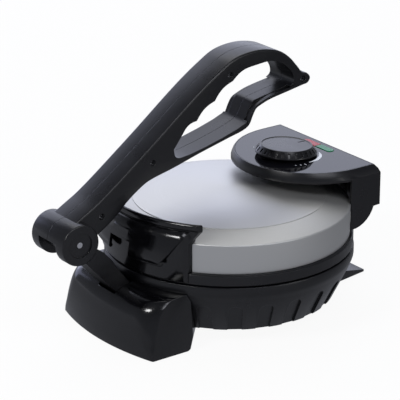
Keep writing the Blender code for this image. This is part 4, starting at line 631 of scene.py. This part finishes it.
def lens_plastic(name, colour):
    """Tinted transparent polystyrene, moulded: glossy, with its colour in the body."""
    made, tree, shader = new_material(name, colour, ior=1.5, transmission_weight=0.2)
    grain(tree, shader, size=1.2 * MM, height=0.004 * MM, soften=0.3 * MM)
    vary_roughness(tree, shader, size=4 * MM, low=0.25, high=0.35)
    return made


def lamp_glass():
    """A small neon lamp's clear glass, warm from the electrodes inside."""
    made, tree, shader = new_material("lamp_glass", "#E8B48A", ior=1.5, transmission_weight=0.8)
    grain(tree, shader, size=1.5 * MM, height=0.003 * MM)
    vary_roughness(tree, shader, size=3 * MM, low=0.03, high=0.08)
    return made


def white_ink():
    """White screen-printing ink: opaque and a little glossy."""
    made, tree, shader = new_material("white_printing_ink", "#E4E8EE", ior=1.5)
    grain(tree, shader, size=0.3 * MM, height=0.001 * MM, soften=0.05 * MM)
    vary_roughness(tree, shader, size=3 * MM, low=0.3, high=0.4)
    return made


FINISHES = {
    "satin_black_plastic": satin_abs(),
    "gloss_black_plastic": gloss_abs(),
    "grey_panel": panel_plastic(),
    "brushed_steel": brushed_stainless(),
    "bare_steel": bright_steel(),
    "dark_steel": dark_steel(),
    "coated_aluminium": nonstick_coating(),
    "rubber": moulded_rubber(),
    "ceramic_white": steatite(),
    "lens_red": lens_plastic("red_lens_plastic", "#C81428"),
    "lens_green": lens_plastic("green_lens_plastic", "#0E8C5C"),
    "lamp_glass": lamp_glass(),
}
WHITE_INK = white_ink()
NODE_SLOT = {entry["node"]: entry["material_slot"] for entry in frame["record"]["subparts"]}
BODIES = frame["record"]["behaviour"]["bodies"]
NODE_BODY = {node: body for body, nodes in BODIES.items() for node in nodes}


def stand_for(piece, node):
    """Gives a piece the finish, body and place of the CAD node that it stands for."""
    piece.data.materials.clear()
    piece.data.materials.append(FINISHES[NODE_SLOT[node]])
    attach(piece, NODE_BODY[node])
    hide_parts(node)
    return piece


def build_lid_sheet():
    """The spun steel lid: a dome, a crease, a sloping border, a small bend and a skirt."""
    dome_low = CREASE_Z + CREASE_STEP / 2
    dome_rise = LID_TOP_Z - dome_low
    dome = [
        (CREASE_RADIUS * k / DOME_STEPS, dome_low + dome_rise * (1 - (k / DOME_STEPS) ** 2))
        for k in range(DOME_STEPS + 1)
    ]
    dome.append((CREASE_RADIUS + CREASE_STEP / 5, CREASE_Z - CREASE_STEP / 2))
    bend = LID_EDGE_BEND
    corner = (LID_RADIUS - bend, LID_EDGE_Z - bend)
    turn = [
        (corner[0] + bend * math.cos(a * DEG), corner[1] + bend * math.sin(a * DEG))
        for a in LID_BEND_ANGLES
    ]
    outside = dome + turn + [(LID_RADIUS, SKIRT_LOW_Z)]
    inside = [
        (max(r - LID_SHEET, 0), z - (LID_SHEET if i < len(outside) - 1 else 0))
        for i, (r, z) in enumerate(outside)
    ]
    inside[0] = (0, inside[0][1])
    sheet = spun("lid_sheet", outside + inside[::-1], centre=(0, LID_Y))
    smooth(sheet, angle=LID_SMOOTH_ANGLE)
    return stand_for(sheet, "lid_shell")


def bowl_outside():
    """The bowl's outside from its rim to its foot: an upright band, a tuck and a leaning wall."""
    tuck = [(BAND_RADIUS + out * MM, BAND_Z + up * MM) for out, up in BOWL_TUCK]
    foot = BOWL_FOOT_ROUND
    lean = (BOWL_TOP_RADIUS - BOWL_BOTTOM_RADIUS) / (BOWL_TOP_Z - BOWL_BOTTOM_Z)
    return [
        (BAND_RADIUS - BAND_EDGE, BASE_TOP_Z),
        (BAND_RADIUS - BAND_TURN_IN, BASE_TOP_Z - BAND_TURN_DOWN),
        (BAND_RADIUS, BASE_TOP_Z - BAND_EDGE),
        *tuck,
        (BOWL_TOP_RADIUS, BOWL_TOP_Z),
        (BOWL_BOTTOM_RADIUS + lean * foot, BOWL_BOTTOM_Z + foot),
        (BOWL_BOTTOM_RADIUS - BOWL_FOOT_TURN, BOWL_BOTTOM_Z + BOWL_FOOT_TURN),
        (BOWL_BOTTOM_RADIUS - foot, BOWL_BOTTOM_Z),
    ]


def flute(turn):
    """One arch-topped slab that leans with the bowl's wall, to cut a shallow flute."""
    lean = math.atan2(BOWL_TOP_RADIUS - BOWL_BOTTOM_RADIUS, BOWL_TOP_Z - BOWL_BOTTOM_Z)
    half = FLUTE_WIDTH / 2
    top = (FLUTE_TOP_Z - BOWL_BOTTOM_Z) / math.cos(lean)
    arch = arc((0, top - half), half, 0, math.pi, FLUTE_ARCH_STEPS)
    outline = [(half, -OVERRUN)] + arch + [(-half, -OVERRUN)]
    slab = level_piece("flute", outline, 0, 2 * OVERRUN)
    stand = Matrix.Rotation(math.pi / 2, 4, "X")
    out = Matrix.Translation((0, FLUTE_DEPTH, 0))
    at_edge = Matrix.Translation((0, -BOWL_BOTTOM_RADIUS, BOWL_BOTTOM_Z))
    place = Matrix.Translation((0, LID_Y, 0)) @ Matrix.Rotation(turn, 4, "Z")
    return move_points(slab, place @ at_edge @ Matrix.Rotation(lean, 4, "X") @ out @ stand)


def build_bowl():
    """The fluted bowl turned finely, and the hinge posts that stand at its back."""
    wall = BOWL_WALL
    bore = BOWL_BOTTOM_RADIUS - wall
    inside = [
        (bore, BOWL_BOTTOM_Z), (bore, COVER_TOP_Z), (bore - COVER_LEDGE, COVER_TOP_Z),
        (bore - COVER_LEDGE, COVER_TOP_Z + wall), (bore + wall, COVER_TOP_Z + wall),
        (BOWL_TOP_RADIUS - wall, BOWL_TOP_Z), (BOWL_TOP_RADIUS - wall, SHELF_Z - 2 * wall),
        (SHELF_RADIUS - SHELF_WIDTH, SHELF_Z - wall), (SHELF_RADIUS - SHELF_WIDTH, SHELF_Z),
        (SHELF_RADIUS, SHELF_Z), (SHELF_RADIUS, BASE_TOP_Z),
    ]
    bowl = spun("bowl", bowl_outside() + inside, centre=(0, LID_Y), steps=FINE_STEPS)
    turns = [FIRST_FLUTE_ANGLE + FLUTE_PITCH * k for k in range(FLUTE_COUNT)]
    flutes = [flute(side * turn) for turn in turns for side in (1, -1)]
    select_only(*flutes)
    bpy.ops.object.join()
    cut(bowl, flutes[0])
    smooth(bowl, angle=SHELL_SMOOTH_ANGLE)
    stand_for(bowl, "base_shell")
    posts = welded_copy("base_shell", "hinge_posts")
    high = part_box("base_shell")[1]
    back, top = high.y + OVERRUN, high.z + OVERRUN
    room = [(POST_BACK_Y, BOWL_TOP_Z), (back, BOWL_TOP_Z), (back, top), (POST_BACK_Y, top)]
    keep_inside(posts, side_piece("post_room", room, -POST_HALF_SPAN, POST_HALF_SPAN))
    smooth(posts)
    stand_for(posts, "base_shell")


def build_grip():
    """The lid's grip: the CAD's wall and sloping face, with a round bead and a round lip."""
    grip = welded_copy("lid_grip", "grip")
    waist = LID_EDGE_Z + BEAD_WAIST
    inner, outer, top = LID_RADIUS + BEAD_GAP, LID_RADIUS + BEAD_OUT, LID_EDGE_Z + BEAD_RISE
    far = LID_RADIUS + 4 * OVERRUN
    above = [(0, waist), (far, waist), (far, top + OVERRUN), (0, top + OVERRUN)]
    cut(grip, spun("above", above, centre=(0, LID_Y)))
    turn = (outer - inner) / 2
    profile = [(inner, waist - BEAD_GAP), (inner, top - turn)]
    profile += arc((inner + turn, top - turn), turn, math.pi, 0, BEAD_TOP_STEPS)[1:]
    profile += arc((inner + turn, waist + turn), turn, 0, -math.pi / 3, BEAD_FOOT_STEPS)
    profile += [(LID_RADIUS + AWNING_STAND, waist - BEAD_GAP)]
    bead = spun("bead", profile, centre=(0, LID_Y), steps=FINE_STEPS)
    room = flat_piece(
        "bead_room",
        [(-BEAD_FOOT, waist - OVERRUN), (BEAD_FOOT, waist - OVERRUN), (BEAD_HALF, waist),
         (BEAD_HALF, top + OVERRUN), (-BEAD_HALF, top + OVERRUN), (-BEAD_HALF, waist)],
        lambda x, z: (x, LID_Y - LID_RADIUS - 4 * OVERRUN, z), (0, LID_RADIUS, 0),
    )
    keep_inside(bead, room)
    round_edges(bead, BEAD_END_ROUND, segments=4, angle=GRIP_ROUNDING_ANGLE)
    join(grip, bead)
    ring = arc((LIP_ROUND, 0), LIP_ROUND, -math.pi, math.pi, LIP_STEPS)[:-1]
    profile = [(LIP_RADIUS - 2 * LIP_ROUND + r, LIP_Z + z) for r, z in ring]
    front, low, high = LID_Y - far, LIP_Z - OVERRUN, LIP_Z + OVERRUN
    room = [(front, low), (LID_Y, low), (LID_Y, high), (front, high)]
    reach = LIP_RADIUS * math.tan(LIP_ANGLE)
    for start, end in ((-reach, -NOTCH_HALF), (NOTCH_HALF, reach)):
        lip = spun("lip", profile, centre=(0, LID_Y), steps=FINE_STEPS)
        keep_inside(lip, side_piece("lip_room", room, start, end))
        round_edges(lip, LIP_ROUND / 2, segments=3, angle=GRIP_ROUNDING_ANGLE)
        join(grip, lip)
    smooth(grip, angle=SHELL_SMOOTH_ANGLE)
    return stand_for(grip, "lid_grip")


def drum_point(share):
    """A lever point, given in shares of its length, as a (y, z) place in the scene."""
    return (DRUM_Y + share[0] * LEVER_LENGTH, DRUM_Z + share[1] * LEVER_LENGTH)


def drum_rod(radius, x_low, x_high, steps=DRUM_STEPS):
    """A round rod along the drum's axis."""
    return side_piece("drum_rod", circle((DRUM_Y, DRUM_Z), radius, steps), x_low, x_high)


def grooves():
    """The finger grooves: arcs between the cusps on the loop's upper side."""
    line = []
    cusps = [Vector(drum_point(share)) for share in GROOVE_CUSPS_SHARES]
    for start, end in zip(cusps, cusps[1:]):
        along = end - start
        up = Vector((along.y, -along.x)).normalized() * GROOVE_RISE
        for k in range(GROOVE_STEPS):
            share = k / GROOVE_STEPS
            line.append(tuple(start + along * share + up * math.sin(math.pi * share)))
    return line + [tuple(cusps[-1])]


def sunk_room():
    """The room behind the thin rim on the outer side of the lever's lower bar."""
    line = flowing([drum_point(share) for share in LEVER_UNDERSIDE_SHARES])
    rim = RIM_STEP_SHARE * LEVER_LENGTH
    start, end = (DRUM_Y + share * LEVER_LENGTH for share in (SUNK_START_SHARE, SUNK_END_SHARE))
    low = []
    for before, point, after in zip(line, line[1:], line[2:]):
        if not start < point[0] < end:
            continue
        along = (Vector(after) - Vector(before)).normalized()
        low.append(tuple(Vector(point) + Vector((along.y, -along.x)) * rim))
    high = [
        point for point in flowing([drum_point(share) for share in LOOP_BAR_SIDE_SHARES])
        if start < point[0] < end
    ]
    return low + high


def lever_half(name, side):
    """One moulded half of the lever and its drum, with its outline drawn smooth."""
    shares = LEVER_TOP_SHARES + LEVER_UNDERSIDE_SHARES
    outline = flowing([drum_point(share) for share in shares])
    half = side_piece(name, outline, -LEVER_HALF_WIDTH, LEVER_HALF_WIDTH)
    round_edges(half, LEVER_EDGE_ROUND, segments=4)

    shares = LOOP_BAR_SIDE_SHARES + LOOP_TIP_SHARES + GROOVE_CUSPS_SHARES[:1]
    bar = flowing([drum_point(share) for share in shares])
    reach = LEVER_HALF_WIDTH + OVERRUN
    cut(half, side_piece("loop", bar[:-1] + grooves(), -reach, reach))

    drum = drum_rod(DRUM_RADIUS, -DRUM_HALF_LENGTH, DRUM_HALF_LENGTH)
    join(half, round_edges(drum, DRUM_EDGE_ROUND))
    far = DRUM_RADIUS + OVERRUN
    centre = (DRUM_Y, DRUM_Z)
    near = DRUM_CAVITY - OVERRUN
    wedge = arc(centre, far, DRUM_SLOT_START, DRUM_SLOT_END, DRUM_SLOT_STEPS)
    wedge += arc(centre, near, DRUM_SLOT_END, DRUM_SLOT_START, DRUM_SLOT_STEPS)
    cut(half, drum_rod(DRUM_CAVITY, -LINK_REACH, LINK_REACH),
        side_piece("drum_slot", wedge, -LINK_REACH, LINK_REACH))
    face = DRUM_HALF_LENGTH - DRUM_RECESS_DEPTH
    drum_reach = DRUM_HALF_LENGTH + OVERRUN
    cut(half, drum_rod(DRUM_RECESS, face, drum_reach),
        drum_rod(AXLE_HOLE, 0, drum_reach, HOLE_STEPS))

    if side > 0:
        for share in LEVER_SCREWS_SHARES:
            ring = circle(drum_point(share), SCREW_WELL, HOLE_STEPS)
            cut(half, side_piece("well", ring, LEVER_HALF_WIDTH - SCREW_WELL_DEPTH, reach))
    cut(half, side_piece("sunk", sunk_room(), SUNK_FACE_X, reach))
    front, back, top = DRUM_Y - far, -DRUM_Y, 2 * LEVER_LENGTH
    other_half = [(front, 0), (back, 0), (back, top), (front, top)]
    cut(half, side_piece("seam", other_half, -drum_reach, LEVER_SEAM / 2))
    if side < 0:
        move_points(half, Matrix.Diagonal((-1, 1, 1, 1)))
        face_outwards(half)
    smooth(half, angle=SHELL_SMOOTH_ANGLE)
    return stand_for(half, name)


def knob_place():
    """The move from the origin to the knob's place and lean on the panel."""
    stand = Matrix.Translation((0, KNOB_AXIS_Y, DECK_TOP_Z))
    return stand @ Matrix.Rotation(-KNOB_LEAN, 4, "X")


def build_knob():
    """The thermostat knob: a shallow dish on top, a slotted side, a flange and a pointer groove."""
    low, high, edge, flange = KNOB_LOW, KNOB_HIGH, KNOB_EDGE, KNOB_FLANGE
    top, foot = KNOB_TOP_RADIUS, KNOB_RADIUS
    profile = [
        (0, high - edge), (top - 4 * edge, high - edge), (top - 2 * edge, high),
        (top - 0.6 * edge, high - 0.15 * edge), (top, high - edge),
        (foot - 1.5 * edge, low + flange), (foot - 0.4 * edge, low + 0.8 * flange),
        (foot, low + 0.5 * flange), (foot - 0.5 * edge, low + 0.15 * flange),
        (foot - 1.5 * edge, low), (0, low),
    ]
    knob = spun("knob_body", profile, steps=KNOB_STEPS)

    rise = high - low - flange
    lean = math.atan2(foot - 1.5 * edge - top, rise)
    at_edge = Matrix.Translation((0, -foot + 1.5 * edge, low + flange))
    half = KNOB_SLOT_WIDTH / 2
    outline = [
        (-half, -OVERRUN), (half, -OVERRUN), (half, KNOB_SLOT_DEPTH), (-half, KNOB_SLOT_DEPTH),
    ]
    slots = []
    for k in range(KNOB_SLOT_COUNT):
        slot = level_piece("slot", outline, 0, KNOB_SLOT_SHARE * rise)
        turn = Matrix.Rotation((k + 0.5) * 2 * math.pi / KNOB_SLOT_COUNT, 4, "Z")
        slots.append(move_points(slot, turn @ at_edge @ Matrix.Rotation(-lean, 4, "X")))
    select_only(*slots)
    bpy.ops.object.join()
    cut(knob, slots[0])

    far = top - 5 * edge
    near = far - POINTER_LENGTH
    half = POINTER_WIDTH / 2
    outline = [(-half, near), (half, near), (half, far), (-half, far)]
    cut(knob, level_piece("pointer", outline, high - 3 * edge, high + OVERRUN))
    move_points(knob, knob_place())
    smooth(knob, angle=KNOB_SMOOTH_ANGLE)
    return stand_for(knob, "knob")


def print_on_panel(name, outline):
    """A flat printed mark, laid on the panel about the knob's axis."""
    mark = level_piece(name, outline, 0, PRINT_THICKNESS)
    move_points(mark, Matrix.Translation((0, KNOB_AXIS_Y, DECK_TOP_Z - PRINT_THICKNESS / 2)))
    mark.data.materials.append(WHITE_INK)
    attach(mark, NODE_BODY["control_panel"])
    return mark


def build_print():
    """The heat scale by the knob: a tapered crescent, a few dots and plain ticks."""
    outer, inner = [], []
    for k in range(SCALE_STEPS + 1):
        share = k / SCALE_STEPS
        turn = SCALE_START + (SCALE_END - SCALE_START) * share
        wave = math.sin(math.pi * (SCALE_WAVE_START + SCALE_WAVE_SPAN * share))
        swell = wave ** SCALE_WAVE_POWER
        outer.append((SCALE_INNER + (SCALE_OUTER - SCALE_INNER) * swell, turn))
        inner.append((SCALE_INNER, turn))
    ring = [(r * math.cos(t), r * math.sin(t)) for r, t in outer + inner[::-1]]
    print_on_panel("heat_scale", ring)
    for index, angle in enumerate(DOT_ANGLES):
        t = angle * DEG
        place = (SCALE_OUTER * math.cos(t), SCALE_OUTER * math.sin(t))
        print_on_panel("scale_dot_%d" % (index + 1), circle(place, DOT_RADIUS, DOT_STEPS))
    for index, (angle, reach) in enumerate(TICKS):
        t = angle * DEG
        way = Vector((math.cos(t), math.sin(t)))
        across = Vector((-way.y, way.x)) * TICK_HALF_WIDTH
        start = way * (SCALE_INNER + TICK_START)
        end = way * (SCALE_INNER + reach * MM)
        corners = (start - across, end - across, end + across, start + across)
        print_on_panel("scale_tick_%d" % (index + 1), [tuple(corner) for corner in corners])


def pedestal_section(row, grow):
    """A level section of the pedestal from one row of shares: a wide arc with round corners."""
    height, forward, sag_share, corner_share = row
    half = PEDESTAL_TOP_HALF + (PEDESTAL_FOOT_HALF - PEDESTAL_TOP_HALF) * (1 - height)
    half += PEDESTAL_SIDE_CUT + grow
    front = PEDESTAL_TOP_Y + forward * (PEDESTAL_FOOT_Y - PEDESTAL_TOP_Y) - grow
    sag = sag_share * PEDESTAL_SAG
    corner = max(corner_share * PEDESTAL_CORNER + grow, PEDESTAL_WALL / 2)
    radius = (half * half + sag * sag) / (2 * sag)
    centre_y = front + radius
    corner_x = half - corner
    corner_y = centre_y - math.sqrt((radius - corner) ** 2 - corner_x ** 2)
    meet = math.atan2(corner_y - centre_y, corner_x)
    z = PEDESTAL_LIFT + (PEDESTAL_TOP_Z - PEDESTAL_LIFT) * height
    tuck = min(1, max(0, z - PEDESTAL_LIFT) / (BOWL_BOTTOM_Z - PEDESTAL_LIFT))
    side_rear = PEDESTAL_REAR_Y + tuck * PEDESTAL_SIDE_STEP
    rear = PEDESTAL_REAR_Y + tuck * (PEDESTAL_TUCK_Y - PEDESTAL_REAR_Y) + PEDESTAL_REAR_INSET
    rear_half = half * (1 - tuck * (1 - PEDESTAL_TUCK_SHARE)) - PEDESTAL_REAR_INSET
    other_meet = -math.pi - meet
    left = arc((-corner_x, corner_y), corner, -math.pi, other_meet, PEDESTAL_CORNER_STEPS)
    face = arc((0, centre_y), radius, other_meet, meet, PEDESTAL_FRONT_STEPS)
    right = arc((corner_x, corner_y), corner, meet, 0, PEDESTAL_CORNER_STEPS)
    points = left[:-1] + face + right[1:]
    points += [(half, side_rear), (rear_half, rear), (-rear_half, rear), (-half, side_rear)]
    return [(x, y, z) for x, y in points]


def lofted(name, rings):
    """A closed skin through level sections that all have the same number of points."""
    count = len(rings[0])
    points = [point for ring in rings for point in ring]
    last = len(points) - count
    faces = []
    for start in range(0, last, count):
        for i in range(count):
            here, beside = start + i, start + (i + 1) % count
            faces.append((here, beside, beside + count, here + count))
    faces += [tuple(range(count))[::-1], tuple(range(last, len(points)))]
    mesh = bpy.data.meshes.new(name)
    mesh.from_pydata(points, [], faces)
    piece = new_piece(name, mesh)
    face_outwards(piece)
    return piece


def build_pedestal():
    """The polished stand under the bowl's front, with creased sides and the link's pocket."""
    levels = flowing(PEDESTAL_SECTION_SHARES)
    stand = lofted("pedestal", [pedestal_section(level, 0) for level in levels])
    half, top_half = PEDESTAL_FOOT_HALF, PEDESTAL_TOP_HALF
    low, high = PEDESTAL_LIFT, PEDESTAL_TOP_Z
    front = PEDESTAL_FOOT_Y - OVERRUN
    sides = flat_piece(
        "pedestal_sides", [(-half, low), (half, low), (top_half, high), (-top_half, high)],
        lambda x, z: (x, front, z), (0, -front, 0),
    )
    keep_inside(stand, sides)

    room = [(r + BOWL_ROOM_GAP, z) for r, z in bowl_outside()[2:]]
    rim = [(0, BASE_TOP_Z), (room[0][0], BASE_TOP_Z)]
    foot = [(0, room[-1][1] - BOWL_ROOM_GAP)]
    cut(stand, spun("bowl_room", rim + room + foot, centre=(0, LID_Y)))
    pocket = [
        (POCKET_FRONT_Y, POCKET_LOW_Z), (0, POCKET_LOW_Z),
        (0, BASE_TOP_Z), (POCKET_FRONT_Y, BASE_TOP_Z),
    ]
    cut(stand, side_piece("pocket", pocket, -POCKET_HALF, POCKET_HALF))
    round_edges(stand, PEDESTAL_EDGE_ROUND, segments=3, angle=PEDESTAL_ROUNDING_ANGLE)

    inset = -PEDESTAL_WALL - PEDESTAL_SIDE_CUT
    hollow_levels = [level for level in levels if level[0] < PEDESTAL_HOLLOW_SHARE]
    under = [pedestal_section(level, inset) for level in hollow_levels]
    under = [[(x, y, z - OVERRUN) for x, y, z in under[0]]] + under
    cut(stand, lofted("pedestal_room", under))
    smooth(stand, angle=PEDESTAL_SMOOTH_ANGLE)
    return stand_for(stand, "front_pedestal")


def build_skins():
    """Every other node keeps its CAD shape, welded so that it shades as the real surface does."""
    done = {
        "lid_shell", "base_shell", "lid_grip", "lever_right", "lever_left", "knob", "front_pedestal",
    }
    for node in frame["nodes"]:
        if node in done:
            continue
        piece = welded_copy(node, node + "_skin")
        smooth(piece)
        stand_for(piece, node)


def way_out(azimuth, elevation):
    """The way from the object outwards. Azimuth 0 is in front of the lever's drum."""
    level = math.cos(elevation)
    return Vector((math.sin(azimuth) * level, -math.cos(azimuth) * level, math.sin(elevation)))


def build_camera():
    """A camera without tilt at the photograph's angle, with its aim a little to one side."""
    back = way_out(CAMERA_AZIMUTH, CAMERA_ELEVATION)
    right = Vector((math.cos(CAMERA_AZIMUTH), math.sin(CAMERA_AZIMUTH), 0))
    up = back.cross(right)
    data = bpy.data.cameras.new("camera")
    data.sensor_width = SENSOR_WIDTH
    data.lens = CAMERA_FOCAL_PIXELS * SENSOR_WIDTH / IMAGE_PIXELS
    data.clip_end = CAMERA_CLIP_END
    camera = bpy.data.objects.new("camera", data)
    bpy.context.scene.collection.objects.link(camera)
    turn = Matrix((right, up, back)).transposed().to_4x4()
    aim = Vector((0, LID_Y, CAMERA_AIM_Z))
    turn.translation = aim + back * CAMERA_DISTANCE + right * CAMERA_SIDE
    camera.matrix_world = turn
    bpy.context.scene.camera = camera


def softbox(name, azimuth, elevation, distance, width, height, power, colour):
    """An area light that looks at the object, placed by angles in degrees."""
    data = bpy.data.lights.new(name, "AREA")
    data.shape = "RECTANGLE"
    data.size, data.size_y = width, height
    data.energy = power
    data.color = linear(colour)
    lamp = bpy.data.objects.new(name, data)
    bpy.context.scene.collection.objects.link(lamp)
    way = way_out(azimuth * DEG, elevation * DEG)
    lamp.location = Vector((0, 0, SOFTBOX_AIM_Z)) + way * distance
    lamp.rotation_euler = way.to_track_quat("Z", "Y").to_euler()


def floor_fade(tree, way, reach, level):
    """A brightness that changes from one level to another along one way over the floor."""
    along = add_node(
        tree, "ShaderNodeVectorMath", {"operation": "DOT_PRODUCT"},
        {0: object_coordinates(tree)}, {1: way},
    )
    fade = add_node(
        tree, "ShaderNodeMapRange", links={"Value": along.outputs["Value"]},
        values={
            "From Min": reach[0], "From Max": reach[1], "To Min": level[0], "To Max": level[1],
        },
    )
    return fade.outputs["Result"]


def build_surround():
    """A pale surround: plain white to the camera, a soft light and a fading reflection."""
    world = bpy.data.worlds.new("studio")
    bpy.context.scene.world = world
    world.use_nodes = True
    tree = world.node_tree
    tree.nodes.clear()
    ray = add_node(tree, "ShaderNodeLightPath")
    seen = add_node(
        tree, "ShaderNodeMath", {"operation": "MAXIMUM"},
        {0: ray.outputs["Is Camera Ray"], 1: ray.outputs["Is Transmission Ray"]},
    )
    surround = add_node(
        tree, "ShaderNodeBackground",
        values={"Color": (*linear("#C8CCD6"), 1), "Strength": SURROUND_LIGHT},
    )
    # In reflections the surround fades from the horizon upwards
    sky = add_node(tree, "ShaderNodeTexCoord")
    parts = add_node(tree, "ShaderNodeSeparateXYZ", links={"Vector": sky.outputs["Generated"]})
    level = add_node(
        tree, "ShaderNodeMapRange", links={"Value": parts.outputs["Z"]},
        values={"From Min": 0.0, "From Max": 0.7, "To Min": 0.45, "To Max": 0.22},
    )
    mirrored = add_node(
        tree, "ShaderNodeBackground", links={"Strength": level.outputs["Result"]},
        values={"Color": (*linear("#D0D4E0"), 1)},
    )
    white = add_node(
        tree, "ShaderNodeBackground", values={"Color": (1, 1, 1, 1), "Strength": 1.0},
    )
    lit = add_node(
        tree, "ShaderNodeMixShader",
        links={0: ray.outputs["Is Glossy Ray"], 1: surround.outputs[0], 2: mirrored.outputs[0]},
    )
    both = add_node(
        tree, "ShaderNodeMixShader",
        links={0: seen.outputs[0], 1: lit.outputs[0], 2: white.outputs[0]},
    )
    add_node(tree, "ShaderNodeOutputWorld", links={"Surface": both.outputs[0]})


def build_floor():
    """A pale floor that keeps the object's shadow, and is seen white."""
    bpy.ops.mesh.primitive_plane_add(size=FLOOR_SIZE, location=(0, 0, -FLOOR_DROP))
    floor = bpy.context.object
    floor.name = "floor"
    made, tree, shader = new_material("pale_floor", "#F2F2F2", roughness=0.8)
    ray = add_node(tree, "ShaderNodeLightPath")
    share = add_node(
        tree, "ShaderNodeMath", {"operation": "MULTIPLY"},
        {0: ray.outputs["Is Camera Ray"]}, {1: FLOOR_WHITE_SHARE},
    )
    glow = add_node(
        tree, "ShaderNodeEmission", values={"Color": (1, 1, 1, 1), "Strength": 1.0},
    )
    # In reflections the floor is brightest on the object's left and darkest behind it
    left = floor_fade(tree, way=(-0.95, 0.3, 0), reach=(0.35, 0.8), level=(0, 0.95))
    front = floor_fade(tree, way=(0.2, -1, 0), reach=(-0.6, 0.3), level=(0.15, 0.55))
    fade = add_node(tree, "ShaderNodeMath", {"operation": "MAXIMUM"}, {0: left, 1: front})
    sheen = add_node(
        tree, "ShaderNodeEmission", links={"Strength": fade.outputs[0]},
        values={"Color": (*linear("#DCDFEA"), 1)},
    )
    plain = add_node(
        tree, "ShaderNodeMixShader",
        links={0: ray.outputs["Is Glossy Ray"], 1: shader.outputs[0], 2: sheen.outputs[0]},
    )
    mix = add_node(
        tree, "ShaderNodeMixShader",
        links={0: share.outputs[0], 1: plain.outputs[0], 2: glow.outputs[0]},
    )
    output = tree.nodes["Material Output"]
    tree.links.new(mix.outputs[0], output.inputs["Surface"])
    floor.data.materials.append(made)


build_camera()
build_surround()
for row in SOFTBOXES:
    softbox(*row)
build_floor()
build_lid_sheet()
build_bowl()
build_grip()
lever_half("lever_right", 1)
lever_half("lever_left", -1)
build_knob()
build_print()
build_pedestal()
build_skins()

bpy.context.scene.view_settings.view_transform = "Standard"
